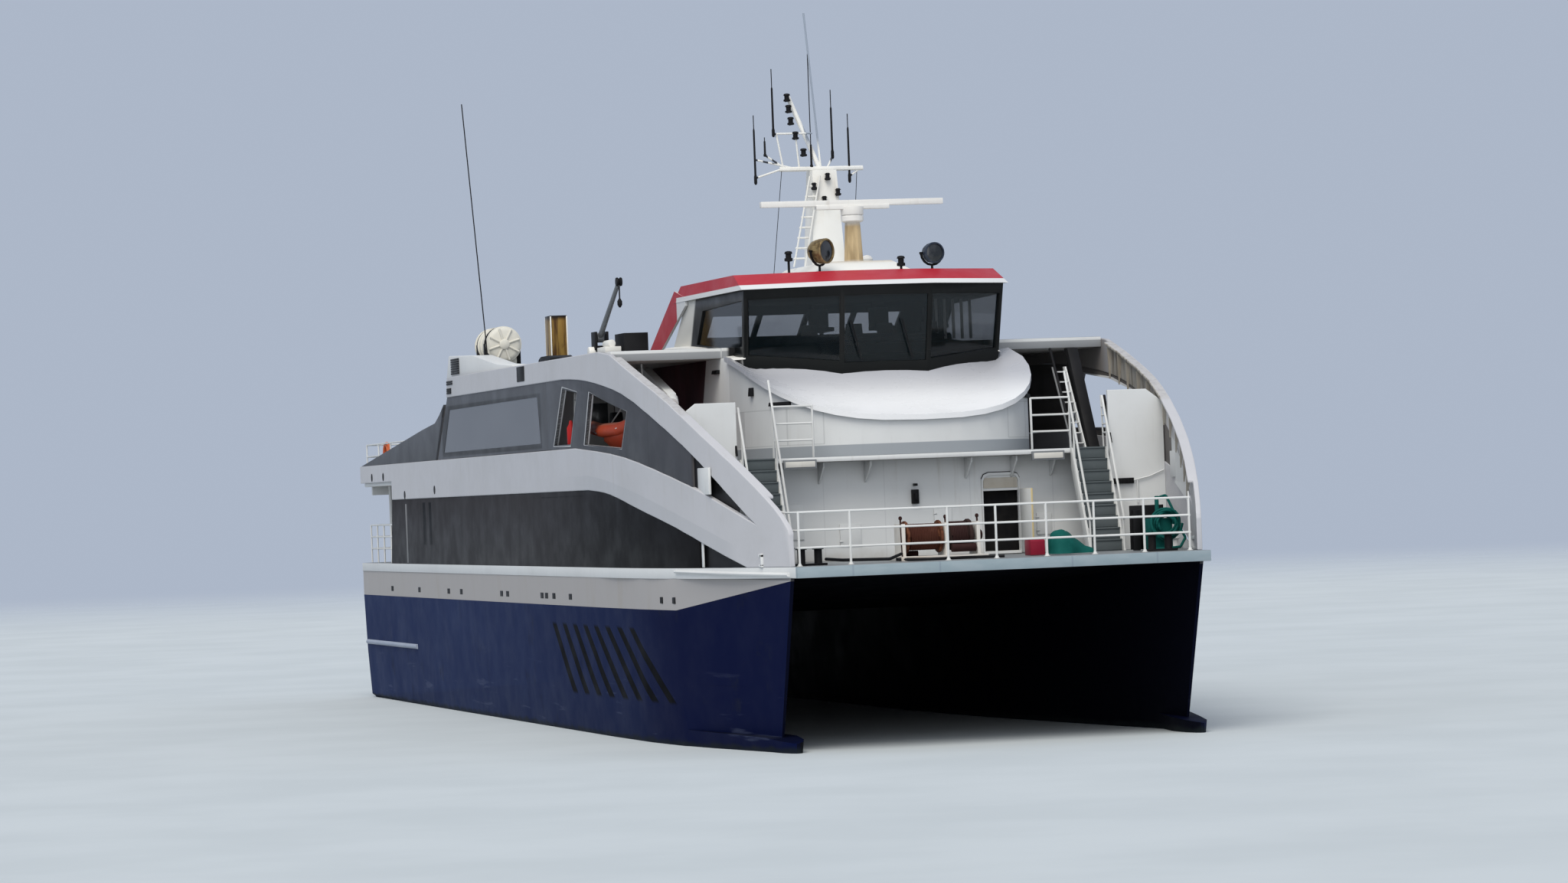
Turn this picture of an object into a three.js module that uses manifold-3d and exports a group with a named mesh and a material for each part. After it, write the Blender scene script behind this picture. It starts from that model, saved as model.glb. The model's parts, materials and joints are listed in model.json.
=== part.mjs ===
// A fast passenger ferry with two hulls, modelled at 1:2.
// Sizes and places are the real ship's metres: x forward from amidships, y to port,
// z up from the waterline. Each finished shape is scaled to the model's millimetres.

import * as THREE from 'three'
import { mergeVertices } from 'three/addons/utils/BufferGeometryUtils.js'
import Module from 'manifold-3d'

const wasm = await Module()
wasm.setup()

// Driving dimensions of the real ship, in metres
const modelPerMetre = 500
const gap = 0.0006
const halfLength = 22.5
const bowTipX = 23.05
const maxHalfBeam = 6.2
const bowHalfBeam = 4.69
const narrowsFrom = 10
const narrowPower = 2.7
const keelDepth = -1.7
const blueTop = 3.08
const hullTop = 3.79
const deckTop = 4.03
const upperDeckUnder = 6.3
const upperDeckTop = 6.42
const roofUnder = 8.87
const roofTop = 9.12
const houseTop = 10.8
const sideThickness = 0.12
const wallThickness = 0.1
const frontWallX = 16.2
const platformFrontX = 17.0
const hullBeltX = 16.8
const frontOval = { x: 12.5, a: 4.5, b: 3.4, power: 2.8 }
const rimOval = { x: 12.5, a: 4.6, b: 3.5, power: 2.8, frontZ: 7.31, rise: 1.59 }
const sillOval = { x: 12.0, a: 2.3, b: 3.45, power: 2, frontZ: 8.5, sideRise: 0.3 }
const visorThickness = 0.12

// Half the deck's width at x: straight amidships, drawn in by a smooth curve to the bow,
// with straight runs between the stations so that plates and decks meet edge to edge
const stations = [-22.5, 10, 12, 13.5, 15, 16.2, 17.4, 18.6, 19.7, 20.7, 21.6, 22.2, 22.5]
function beamCurve(x) {
  const along = Math.max(0, (x - narrowsFrom) / (halfLength - narrowsFrom))
  return maxHalfBeam - (maxHalfBeam - bowHalfBeam) * Math.pow(along, narrowPower)
}
function halfBeam(x) {
  const next = Math.max(1, stations.findIndex((station) => station >= x))
  const [x0, x1] = [stations[next - 1], stations[next]]
  const part = (x - x0) / (x1 - x0)
  return beamCurve(x0) * (1 - part) + beamCurve(x1) * part
}

// Solids
function solid(geometry) {
  const bare = geometry.clone()
  bare.deleteAttribute('normal')
  bare.deleteAttribute('uv')
  const merged = mergeVertices(bare, 1e-6)
  const index = merged.index.array
  const made = new wasm.Manifold(new wasm.Mesh({
    numProp: 3,
    vertProperties: Float32Array.from(merged.attributes.position.array),
    triVerts: Uint32Array.from(index),
  }))
  return made
}

function joined(parts) {
  return parts.reduce((whole, part) => whole.add(part))
}

function box(x, y, z) {
  const shape = new THREE.BoxGeometry(x[1] - x[0], y[1] - y[0], z[1] - z[0])
  shape.translate((x[0] + x[1]) / 2, (y[0] + y[1]) / 2, (z[0] + z[1]) / 2)
  return solid(shape)
}

// What is left of a shape beside its neighbour, with a thin gap all round
function clearOf(shape, neighbour) {
  const shifts = [[2 * gap, 0, 0], [-2 * gap, 0, 0], [0, 0, 2 * gap], [0, 0, -2 * gap]]
  return shifts.reduce((kept, shift) => kept.subtract(neighbour.translate(shift)), shape)
}
function largest(shape) {
  return shape.decompose().sort((a, b) => b.volume() - a.volume())[0]
}

// A rod between two points; ends flat
function rod(from, to, radius, sides = 6, endRadius = radius) {
  const a = new THREE.Vector3(...from)
  const b = new THREE.Vector3(...to)
  const along = b.clone().sub(a)
  const shape = new THREE.CylinderGeometry(endRadius, radius, along.length(), sides)
  shape.applyQuaternion(new THREE.Quaternion().setFromUnitVectors(
    new THREE.Vector3(0, 1, 0), along.clone().normalize()))
  const middle = a.add(b).multiplyScalar(0.5)
  shape.translate(middle.x, middle.y, middle.z)
  return solid(shape)
}

// Closed shape through sections with equal numbers of points, each section convex
function loft(sections) {
  const count = sections[0].length
  const points = sections.flat(2)
  const faces = []
  for (let s = 0; s + 1 < sections.length; s += 1) {
    for (let i = 0; i < count; i += 1) {
      const j = (i + 1) % count
      const [a, b] = [s * count + i, s * count + j]
      const [c, d] = [a + count, b + count]
      faces.push(a, b, d, a, d, c)
    }
  }
  const last = (sections.length - 1) * count
  for (let i = 1; i + 1 < count; i += 1) {
    faces.push(0, i + 1, i)
    faces.push(last, last + i, last + i + 1)
  }
  let volume = 0
  const corner = (n) => new THREE.Vector3(...points.slice(3 * n, 3 * n + 3))
  for (let f = 0; f < faces.length; f += 3) {
    volume += corner(faces[f]).dot(corner(faces[f + 1]).cross(corner(faces[f + 2])))
  }
  if (volume < 0) faces.reverse()
  const shape = new THREE.BufferGeometry()
  shape.setAttribute('position', new THREE.Float32BufferAttribute(points, 3))
  shape.setIndex(faces)
  return solid(shape)
}

// Flat outlines pushed out along one axis: side view x-z, plan x-y, end view y-z
const curveSteps = 3
function fromSide(outline, y, holes = []) {
  const shape = pushedOut(outline, y[1] - y[0], holes)
  shape.rotateX(Math.PI / 2)
  shape.translate(0, y[1], 0)
  return solid(shape)
}
function fromAbove(outline, z, holes = []) {
  const shape = pushedOut(outline, z[1] - z[0], holes)
  shape.translate(0, 0, z[0])
  return solid(shape)
}
function fromAhead(outline, x, holes = []) {
  const shape = pushedOut(outline, x[1] - x[0], holes)
  shape.applyMatrix4(new THREE.Matrix4().set(
    0, 0, 1, x[0],
    1, 0, 0, 0,
    0, 1, 0, 0,
    0, 0, 0, 1))
  return solid(shape)
}
function pushedOut(outline, depth, holes) {
  const shape = outline instanceof THREE.Shape ? outline : polygon(outline)
  shape.holes = holes.map((hole) => polygon(hole))
  return new THREE.ExtrudeGeometry(shape, { depth, bevelEnabled: false, curveSegments: curveSteps })
}
function polygon(points) {
  return new THREE.Shape(points.map((p) => new THREE.Vector2(p[0], p[1])))
}
function vectors(points, shift = 0) {
  return points.map((p) => new THREE.Vector2(p[0], p[1] + shift))
}

// The band of space just inside the ship's side, from one offset inboard to another
function sideBand(side, from, to, z) {
  const outer = stations.map((x) => [x, side * (halfBeam(x) - from)])
  const inner = stations.map((x) => [x, side * (halfBeam(x) - to)]).reverse()
  return fromAbove(outer.concat(inner), z)
}
// Deck plan, drawn in from the side by an offset and cut off fore and aft
function deckPlan(offset, aft, fore) {
  const xs = stations.filter((x) => x > aft && x < fore)
  const edge = [aft, ...xs, fore]
  return edge.map((x) => [x, -(halfBeam(x) - offset)])
    .concat(edge.map((x) => [x, halfBeam(x) - offset]).reverse())
}

const ferry = new THREE.Group()
const finishes = {
  hullBlue: [0x27406f, 0.45, 0.0],
  paintWhite: [0xd9dde0, 0.4, 0.0],
  deckGrey: [0x6d7275, 0.8, 0.0],
  panelDark: [0x3c3d40, 0.5, 0.0],
  panelGrey: [0x6b7278, 0.45, 0.0],
  glass: [0x10181c, 0.08, 0.0],
  signalRed: [0xb4202b, 0.4, 0.0],
  cream: [0xd8d0b4, 0.5, 0.0],
  steel: [0x8d8f90, 0.4, 0.8],
  bronze: [0xa27a3e, 0.35, 0.9],
  black: [0x16171a, 0.6, 0.0],
  orange: [0xc8472a, 0.6, 0.0],
  brass: [0x9a7a3c, 0.35, 0.7],
  green: [0x1f6f62, 0.6, 0.0],
}
function piece(name, shape, finish) {
  const mesh = shape.getMesh()
  const geometry = new THREE.BufferGeometry()
  const places = Float32Array.from(mesh.vertProperties, (v) => v * modelPerMetre)
  geometry.setAttribute('position', new THREE.BufferAttribute(places, 3))
  geometry.setIndex(new THREE.BufferAttribute(Uint32Array.from(mesh.triVerts), 1))
  const [color, roughness, metalness] = finishes[finish]
  const made = new THREE.Mesh(geometry, new THREE.MeshStandardMaterial({ color, roughness, metalness }))
  made.name = name
  ferry.add(made)
}
const sides = [['port', 1], ['starboard', -1]]

// Hulls: slim, with upright outer sides and raked stems under the deck's overhang
// Columns: x at the waterline, keel z, share of the stem's rake
const hullStations = [
  [-22.5, -0.55, 0],
  [-18, -0.75, 0],
  [-12, -1.45, 0],
  [-6, keelDepth, 0],
  [4, keelDepth, 0],
  [10, keelDepth, 0],
  [14, keelDepth, 0.08],
  [16.5, keelDepth, 0.2],
  [18.6, -1.6, 0.5],
  [20.1, -1.45, 0.8],
  [21.05, -1.25, 1],
]
const stemX = 21.05
const stemRake = 1.45
const stemY = 4.66
const stemHalf = 0.04
const innerAft = 2.85
const sideInset = 0.02
const tuckMost = 0.14
function hullOuter(x) {
  const along = Math.max(0, (x - hullBeltX) / (stemX - hullBeltX))
  return (halfBeam(Math.min(x, hullBeltX)) - sideInset) * (1 - along) + (stemY + stemHalf) * along
}
function hullInner(x) {
  const along = Math.max(0, (x - 4) / (stemX - 4))
  return innerAft + (stemY - stemHalf - innerAft) * Math.pow(along, 1.5)
}
function beltZ(x) {
  const along = Math.max(0, (x - hullBeltX) / (halfLength - hullBeltX))
  return blueTop + (3.73 - blueTop) * Math.min(1, along)
}
function hullShape(side, grow) {
  const sections = hullStations.map(([x, keel, rake]) => {
    const outer = hullOuter(x) + grow
    const inner = hullInner(x) - grow
    const width = outer - inner
    const middle = (outer + inner) / 2
    const top = hullTop - gap + (grow ? 1 : 0)
    const lowTuck = Math.min(tuckMost, width * 0.2)
    const profile = [
      [outer, top],
      [outer, beltZ(x + rake * stemRake * 0.92)],
      [outer - lowTuck * 0.4, 1.4],
      [outer - lowTuck, 0.1],
      [outer - width * 0.14 - lowTuck, keel * 0.55],
      [middle + width * 0.05, keel],
      [middle - width * 0.05, keel],
      [inner + width * 0.14 + lowTuck, keel * 0.55],
      [inner + lowTuck, 0.1],
      [inner, 1.6],
      [inner, top],
    ]
    return profile.map(([y, z]) => [x + rake * stemRake * z / hullTop, side * y, z])
  })
  return loft(sections)
}
// The foot: a flat-topped fairing round the stem at the waterline, which runs on below it
// Columns: x, inner y, outer y, top z, low z
const footStations = [
  [16.8, 5.2, 5.74, 0.4, -0.8],
  [18.2, 4.9, 5.54, 0.38, -0.75],
  [19.6, 4.5, 5.28, 0.36, -0.7],
  [21.0, 4.3, 5.0, 0.33, -0.62],
  [21.8, 4.36, 4.88, 0.28, -0.5],
  [22.15, 4.47, 4.74, 0.25, -0.4],
  [22.27, 4.57, 4.65, 0.23, -0.32],
]
function foot(side) {
  return loft(footStations.map(([x, inner, outer, top, low]) => {
    const width = outer - inner
    return [
      [x, side * inner, top],
      [x, side * outer, top - 0.02],
      [x, side * (outer - width * 0.06), top - 0.25],
      [x, side * (outer - width * 0.35), low],
      [x, side * (inner + width * 0.35), low],
      [x, side * (inner + width * 0.06), top - 0.25],
    ]
  }))
}
const hullMiddle = (maxHalfBeam - sideInset + innerAft) / 2
const shaftFore = [-13.2, -1.34]
const shaftAft = [-19.6, -1.5]
for (const [name, side] of sides) {
  const y = side * hullMiddle
  const skeg = fromSide([[-11.5, -1.3], [-7, -1.65], [4, -1.65], [2, -2.15], [-10.5, -2.15]],
    [y - 0.09, y + 0.09])
  const shaftHole = rod([shaftFore[0] + 0.1, y, shaftFore[1]], [shaftAft[0], y, shaftAft[1]], 0.09, 10)
  piece(`hull_${name}`, hullShape(side, 0).add(foot(side)).add(skeg).subtract(shaftHole), 'hullBlue')
}

// Bridging structure between the hulls, and the main deck over both
const bridgeProfile = [[-22.4, 2.55], [9, 2.75], [15, 3.3], [19.5, hullTop - gap], [-22.4, hullTop - gap]]
const bridge = fromSide(bridgeProfile, [-6.1, 6.1]).subtract(hullShape(1, gap)).subtract(hullShape(-1, gap))
piece('bridge_structure', largest(bridge), 'black')
const rampSill = joined([
  box([-22.48, -21.7], [-2.7, 2.7], [deckTop - 0.01, deckTop + 0.03]),
  box([-22.3, -22.1], [-2.7, -2.56], [deckTop, deckTop + 0.24]),
  box([-22.3, -22.1], [2.56, 2.7], [deckTop, deckTop + 0.24]),
])
piece('main_deck', fromAbove(deckPlan(0, -halfLength, halfLength), [hullTop, deckTop])
  .add(box([halfLength - 0.3, bowTipX], [-bowHalfBeam, bowHalfBeam], [hullTop, deckTop]))
  .add(rampSill), 'paintWhite')

// Side frames: the white lower band and the arch that sweeps from the roof to the bow
const archTop = [[12.1, 9.04], [14.1, 8.52], [16.7, 7.76], [19.75, 6.5], [21.6, 5.52], [22.38, 4.9]]
const archUnder = [[7.4, 8.6], [10.6, 8.4], [14, 7.9], [17.95, 6.63], [21.08, 4.99]]
const bandTop = [[17.8, 5.89], [13.2, 6.6], [8, 6.91]]
const bandUnder = [[11.6, 5.76], [14.2, 5.4], [17.25, 4.88], [20.69, deckTop + gap]]
const foredeckEdge = 22.48
const sideAft = -22.3
const archAft = -8.0
const bandTopZ = 6.92
const bandUnderZ = 5.88
const overhangUnderZ = 6.41
const darkPanelAft = -17.1
function sideFrameOutline() {
  const shape = new THREE.Shape()
  shape.moveTo(foredeckEdge, deckTop + gap)
  shape.lineTo(foredeckEdge - 0.03, 4.6)
  shape.splineThru(vectors(archTop).reverse())
  shape.lineTo(10.9, roofTop + 0.02)
  shape.lineTo(archAft, roofTop + 0.02)
  shape.lineTo(archAft - 0.2, 8.6)
  shape.lineTo(4, 8.62)
  shape.splineThru(vectors(archUnder))
  shape.splineThru(vectors(bandTop))
  shape.lineTo(5, bandTopZ)
  shape.lineTo(sideAft, bandTopZ)
  shape.lineTo(sideAft, overhangUnderZ)
  shape.lineTo(darkPanelAft, overhangUnderZ)
  shape.lineTo(darkPanelAft, bandUnderZ)
  shape.lineTo(9.35, bandUnderZ)
  shape.splineThru(vectors(bandUnder))
  return shape
}
const darkPanelOutline = [[darkPanelAft - 0.5, deckTop + gap], [darkPanelAft, 6.2], [18.3, 6.2],
  [18.3, deckTop + gap]]
const greyPanelOutline = [[-9.95, 6.8], [18, 5.5], [18, 7.3], [10.9, 8.8], [-7.95, 8.8]]
const windowHole = [[-8.9, 7.1], [4.0, 7.1], [3.75, 8.28], [-7.9, 8.25]]
// The side openings: to starboard a narrow one and the boat's, to port a single longer one
const sideOpenings = {
  port: [[[9.1, 6.98], [13.1, 6.9], [14.4, 7.72], [12.4, 8.08], [10.2, 8.28]]],
  starboard: [
    [[5.6, 7.02], [7.5, 7.02], [8.4, 8.25], [6.8, 8.38]],
    [[9.1, 6.98], [12.9, 6.82], [13.5, 7.66], [9.84, 8.2]],
  ],
}
const infillInset = [0.02, 0.1]
const wallSeamX = 4.9
const wide = [-7, 7]
// Flange along the arch's outer edge, standing proud inboard
const flange = { wide: 0.24, thick: 0.07, aft: 12.4, fore: 21.5 }
// Bulwark across the wing, outboard of the stair; columns: y, z
const wingWall = { x: [platformFrontX + 2 * gap, 17.1], inner: 4.42, top: 7.72, shoulder: 5.35, outerTop: 7.42 }
for (const [name, side] of sides) {
  const height = [deckTop, roofTop + 0.1]
  const outline = fromSide(sideFrameOutline(), wide)
  const edge = outline.subtract(outline.translate([0, 0, -flange.thick]))
    .intersect(box([flange.aft, flange.fore], wide, [5.4, roofTop]))
  const frame = sideBand(side, 0, sideThickness, height).intersect(outline)
    .add(largest(sideBand(side, 0.01, flange.wide, height).intersect(edge)))
  piece(`side_frame_${name}`, frame, 'paintWhite')
  const infill = sideBand(side, ...infillInset, height)
  const dark = infill.intersect(fromSide(darkPanelOutline, wide))
  piece(`main_deck_wall_${name}`, largest(clearOf(dark, frame)), 'panelDark')
  const grey = infill.intersect(fromSide(greyPanelOutline, wide, [windowHole, ...sideOpenings[name]]))
  const wall = largest(clearOf(grey, frame))
  piece(`upper_wall_${name}`,
    wall.intersect(box([-halfLength, wallSeamX - gap / 2], wide, height)), 'panelGrey')
  piece(`gallery_wall_${name}`,
    wall.intersect(box([wallSeamX + gap / 2, halfLength], wide, height)), 'panelGrey')
  const { x, inner, top, shoulder, outerTop } = wingWall
  const outer = halfBeam(x[1]) - sideThickness - gap
  const wingOutline = [[inner, deckTop + gap], [outer, deckTop + gap], [outer, outerTop], [shoulder, top],
    [inner, top]]
  piece(`wing_wall_${name}`, fromAhead(wingOutline.map(([y, z]) => [side * y, z]), x), 'paintWhite')
  const pane = windowHole.map(([x, z]) => [x + (x < 0 ? 0.002 : -0.002), z + (z < 7.5 ? 0.002 : -0.002)])
  piece(`lounge_window_${name}`,
    sideBand(side, 0.03, 0.06, height).intersect(fromSide(pane, wide)), 'glass')
  const screen = [[-22.2, bandTopZ + gap], [-10.15, bandTopZ + gap], [-8.72, 8.42], [-9.4, 8.15],
    [-10.1, 7.94], [-12, 7.8], [-16.4, 7.4]]
  piece(`aft_screen_${name}`, infill.intersect(fromSide(screen, wide)), 'panelGrey')
}

// Walls and decks of the house
const inside = sideThickness + gap
const doorway = { y: [1.6, 2.46], z: [deckTop + 0.08, 5.5] }
const wallHalf = halfBeam(frontWallX) - inside
piece('main_deck_front_wall', fromAhead(
  [[-wallHalf, deckTop + gap], [wallHalf, deckTop + gap],
    [wallHalf, upperDeckUnder - gap], [-wallHalf, upperDeckUnder - gap]],
  [frontWallX - wallThickness, frontWallX],
  [[[doorway.y[0], doorway.z[0]], [doorway.y[1], doorway.z[0]],
    [doorway.y[1], doorway.z[1]], [doorway.y[0], doorway.z[1]]]]), 'paintWhite')
const aftWallX = -16.9
piece('main_deck_aft_wall', fromAhead(
  [[-6.07, deckTop + gap], [-2.6, deckTop + gap], [-2.6, 6.0], [2.6, 6.0], [2.6, deckTop + gap],
    [6.07, deckTop + gap], [6.07, 5.87], [6.07, upperDeckUnder - gap], [-6.07, upperDeckUnder - gap],
    [-6.07, 5.87]],
  [aftWallX, aftWallX + wallThickness]), 'paintWhite')

// A rounded front, fuller than an ellipse where its power is over two
function ovalPoint(oval, turn) {
  const full = (v) => Math.sign(v) * Math.pow(Math.abs(v), 2 / oval.power)
  return [oval.x + oval.a * full(Math.cos(turn)), oval.b * full(Math.sin(turn))]
}
const ovalTurns = []
const ovalSteps = 20
for (let i = 0; i <= ovalSteps; i += 1) ovalTurns.push(-Math.PI / 2 + (i / ovalSteps) * Math.PI)
const ovalFront = fromAbove(ovalTurns.map((t) => ovalPoint(rimOval, t)), [upperDeckUnder, upperDeckTop])
piece('upper_deck', fromAbove(deckPlan(inside, sideAft, platformFrontX), [upperDeckUnder, upperDeckTop])
  .add(ovalFront), 'paintWhite')

// The rounded front of the upper saloon, and the visor that slopes down to it from the wheelhouse
function rimZ(turn) {
  return rimOval.frontZ + rimOval.rise * (1 - Math.cos(turn))
}
function sillZ(turn) {
  return sillOval.frontZ + sillOval.sideRise * (1 - Math.cos(turn))
}
// Steep under the windows, then flatter down to the rim
const visorBreak = { out: 0.22, down: 0.42 }
const sillReach = 0.4
function visorShape(drop, lift) {
  const rings = ovalTurns.map((t) => {
    const [xo, yo] = ovalPoint(rimOval, t)
    const [xi, yi] = ovalPoint({ ...sillOval, a: sillOval.a - sillReach, b: sillOval.b - sillReach }, t)
    const mix = (from, to, part) => from + (to - from) * part
    const middle = [mix(xi, xo, visorBreak.out), mix(yi, yo, visorBreak.out),
      mix(sillZ(t), rimZ(t), visorBreak.down)]
    return [[xi, yi, sillZ(t)], middle, [xo, yo, rimZ(t)]].map(([x, y, z]) => [x, y, z + lift])
  })
  const band = (a, b) => loft(rings.map((ring) => {
    const [p, q] = [ring[a], ring[b]]
    return [p, q, [q[0], q[1], q[2] - drop], [p[0], p[1], p[2] - drop]]
  }))
  return band(0, 1).add(band(1, 2))
}
piece('visor', visorShape(visorThickness, 0), 'paintWhite')
const aboveVisorUnderside = visorShape(3 + visorThickness + gap, 3)
const innerFrontOval = { ...frontOval, a: frontOval.a - wallThickness, b: frontOval.b - wallThickness }
piece('front_saloon_wall', loft(ovalTurns.map((t) => {
  const [xo, yo] = ovalPoint(frontOval, t)
  const [xi, yi] = ovalPoint(innerFrontOval, t)
  const top = rimZ(t) + 0.4
  const low = upperDeckTop + gap
  return [[xo, yo, low], [xo, yo, top], [xi, yi, top], [xi, yi, low]]
})).subtract(aboveVisorUnderside), 'paintWhite')

// Side passages: the saloon's side wall, the lounge's front wall and its door
const passageY = frontOval.b
const loungeFrontX = 4.6
const loungeDoor = { y: [4.4, 5.2], z: [upperDeckTop + 0.06, 8.3], thick: 0.05, play: 0.012 }
const sorted = (side, [a, b]) => [side * a, side * b].sort((p, q) => p - q)
for (const [name, side] of sides) {
  const edge = halfBeam(loungeFrontX) - inside
  const doorY = sorted(side, loungeDoor.y)
  const doorHole = box([loungeFrontX - 1, loungeFrontX + 1], doorY, loungeDoor.z)
  const height = [upperDeckTop + gap, roofUnder - gap]
  const innerY = passageY - wallThickness
  const walls = [
    clearOf(box([loungeFrontX, frontOval.x - gap], sorted(side, [innerY, passageY]), height),
      aboveVisorUnderside),
    box([loungeFrontX, loungeFrontX + wallThickness], sorted(side, [innerY, edge]), height),
  ]
  piece(`passage_wall_${name}`, joined(walls).subtract(doorHole), 'paintWhite')
  const leafX = loungeFrontX + (wallThickness - loungeDoor.thick) / 2
  piece(`lounge_door_${name}`, box([leafX, leafX + loungeDoor.thick],
    [doorY[0] + loungeDoor.play, doorY[1] - loungeDoor.play],
    [loungeDoor.z[0] + loungeDoor.play, loungeDoor.z[1] - loungeDoor.play]), 'paintWhite')
}
const loungeAft = halfBeam(-10) - inside
piece('lounge_aft_wall', loft([
  [[-10.0, -loungeAft, upperDeckTop + gap], [-9.9, -loungeAft, upperDeckTop + gap],
    [-9.9, loungeAft, upperDeckTop + gap], [-10.0, loungeAft, upperDeckTop + gap]],
  [[-8.3, -loungeAft, roofUnder - gap], [-8.2, -loungeAft, roofUnder - gap],
    [-8.2, loungeAft, roofUnder - gap], [-8.3, loungeAft, roofUnder - gap]],
]), 'paintWhite')

// Roof deck
const roofSideEdge = 11.8
const roofPlan = deckPlan(inside, archAft - 0.3, roofSideEdge)
piece('roof_deck', fromAbove(roofPlan, [roofUnder, roofTop])
  .add(box([10, 11.9], [-3.4, 3.4], [roofUnder, roofTop]))
  .subtract(visorShape(3, gap)), 'paintWhite')

// Front door, stowed open against its stay, square to the wall
const doorLeaf = { thick: 0.05, wide: 0.9, clear: 0.03 }
piece('front_door', box([frontWallX + doorLeaf.clear, frontWallX + doorLeaf.clear + doorLeaf.wide],
  [doorway.y[1] + 0.01, doorway.y[1] + 0.01 + doorLeaf.thick],
  [deckTop + doorLeaf.clear, doorway.z[1] + doorLeaf.clear]), 'cream')

// Wheelhouse: windows lean outward, mullions between them, rear slopes to the roof
const houseLow = [[14.0, 1.05], [12.85, 3.1], [4.4, 3.1]]
const houseHigh = [[14.45, 1.08], [13.35, 3.18], [7.6, 3.18]]
const houseZ = [8.3, 10.41]
const mirrored = (half) => half.concat(half.map(([x, y]) => [x, -y]).reverse())
function houseShape(inset, lowZ, highZ) {
  const pull = ([x, y]) => [x - Math.sign(x - 9) * inset, Math.sign(y) * (Math.abs(y) - inset)]
  const at = (ring, z) => mirrored(ring).map(pull).map(([x, y]) => [x, y, z])
  return loft([at(houseLow, lowZ), at(houseHigh, highZ)])
}
// Window corners on a facet, by shares along and up, cut right through the wall
function facetCut(lowA, lowB, highA, highB, along, up, depth) {
  const corner = (u, v) => {
    const low = [0, 1].map((i) => lowA[i] + (lowB[i] - lowA[i]) * u)
    const high = [0, 1].map((i) => highA[i] + (highB[i] - highA[i]) * u)
    const z = houseZ[0] + (houseZ[1] - houseZ[0]) * v
    return new THREE.Vector3(low[0] + (high[0] - low[0]) * v, low[1] + (high[1] - low[1]) * v, z)
  }
  const corners = [corner(along[0], up[0][0]), corner(along[1], up[0][1]),
    corner(along[1], up[1][1]), corner(along[0], up[1][0])]
  const [first, next, , last] = corners
  const normal = next.clone().sub(first).cross(last.clone().sub(first)).normalize()
  return loft([-depth, depth].map((d) =>
    corners.map((p) => p.clone().addScaledVector(normal, d).toArray())))
}
const share = (z) => (z - houseZ[0]) / (houseZ[1] - houseZ[0])
function windowCuts(depth) {
  const cuts = []
  const [l0, l1, l2] = houseLow
  const [h0, h1, h2] = houseHigh
  const flip = ([x, y]) => [x, -y]
  const head = share(10.17)
  const front = share(8.62)
  cuts.push(facetCut(flip(l0), l0, flip(h0), h0, [0.03, 0.97], [[front, front], [head, head]], depth))
  for (const turn of [(p) => p, flip]) {
    cuts.push(facetCut(turn(l0), turn(l1), turn(h0), turn(h1), [0.03, 0.96],
      [[share(8.66), share(8.88)], [head, head]], depth))
    cuts.push(facetCut(turn(l1), turn(l2), turn(h1), turn(h2), [0.03, 0.66],
      [[share(8.92), share(9.32)], [head, share(10.1)]], depth))
  }
  const rear = [share(9.55), share(10.12)]
  for (const along of [[0.12, 0.3], [0.32, 0.49], [0.51, 0.68], [0.7, 0.88]]) {
    cuts.push(facetCut(l2, flip(l2), h2, flip(h2), along, [[rear[0], rear[0]], [rear[1], rear[1]]], depth))
  }
  return cuts
}
const houseFull = houseShape(0, ...houseZ)
const houseVoid = houseShape(0.1, houseZ[0] - 0.01, houseZ[1] - 0.08)
const notBelow = [visorShape(3, gap), box([-2, 11.95], [-5, 5], [7, roofTop + gap]),
  box([11, 13], [-3.3, 3.3], [7, sillOval.frontZ + 0.1])]
const trimmed = (shape) => notBelow.reduce(clearOf, shape)
let houseWalls = trimmed(houseFull.subtract(houseVoid))
for (const cut of windowCuts(0.4)) houseWalls = houseWalls.subtract(cut)
const bandFootZ = 8.86
const bandSplit = (z) => box([0, 20], [-5, 5], z)
const houseLower = houseWalls.intersect(bandSplit([7, bandFootZ - gap / 2]))
const houseUpper = houseWalls.intersect(bandSplit([bandFootZ + gap / 2, 12]))
piece('wheelhouse', largest(houseLower), 'cream')
piece('wheelhouse_window_frame', largest(houseUpper), 'black')

// Roof of the wheelhouse, with raked fascia and the sloping corner strips behind
const eaveLow = [[14.6, 1.12], [13.5, 3.26], [6.6, 3.26]]
const eaveHigh = [[13.5, 1.0], [12.5, 3.2], [7.2, 3.2]]
const ring = (half, z) => mirrored(half).map(([x, y]) => [x, y, z])
let houseRoof = loft([ring(eaveLow, houseZ[1] + gap), ring(eaveHigh, houseTop)])
const stripProfile = [[3.4, roofTop + 0.005], [4.6, roofTop + 0.005], [7.8, 10.3], [7.8, 10.5], [6.7, 10.7]]
for (const [, side] of sides) {
  houseRoof = houseRoof.add(fromSide(stripProfile, sorted(side, [3.185, 3.25])))
}
piece('wheelhouse_roof', houseRoof, 'signalRed')

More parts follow.
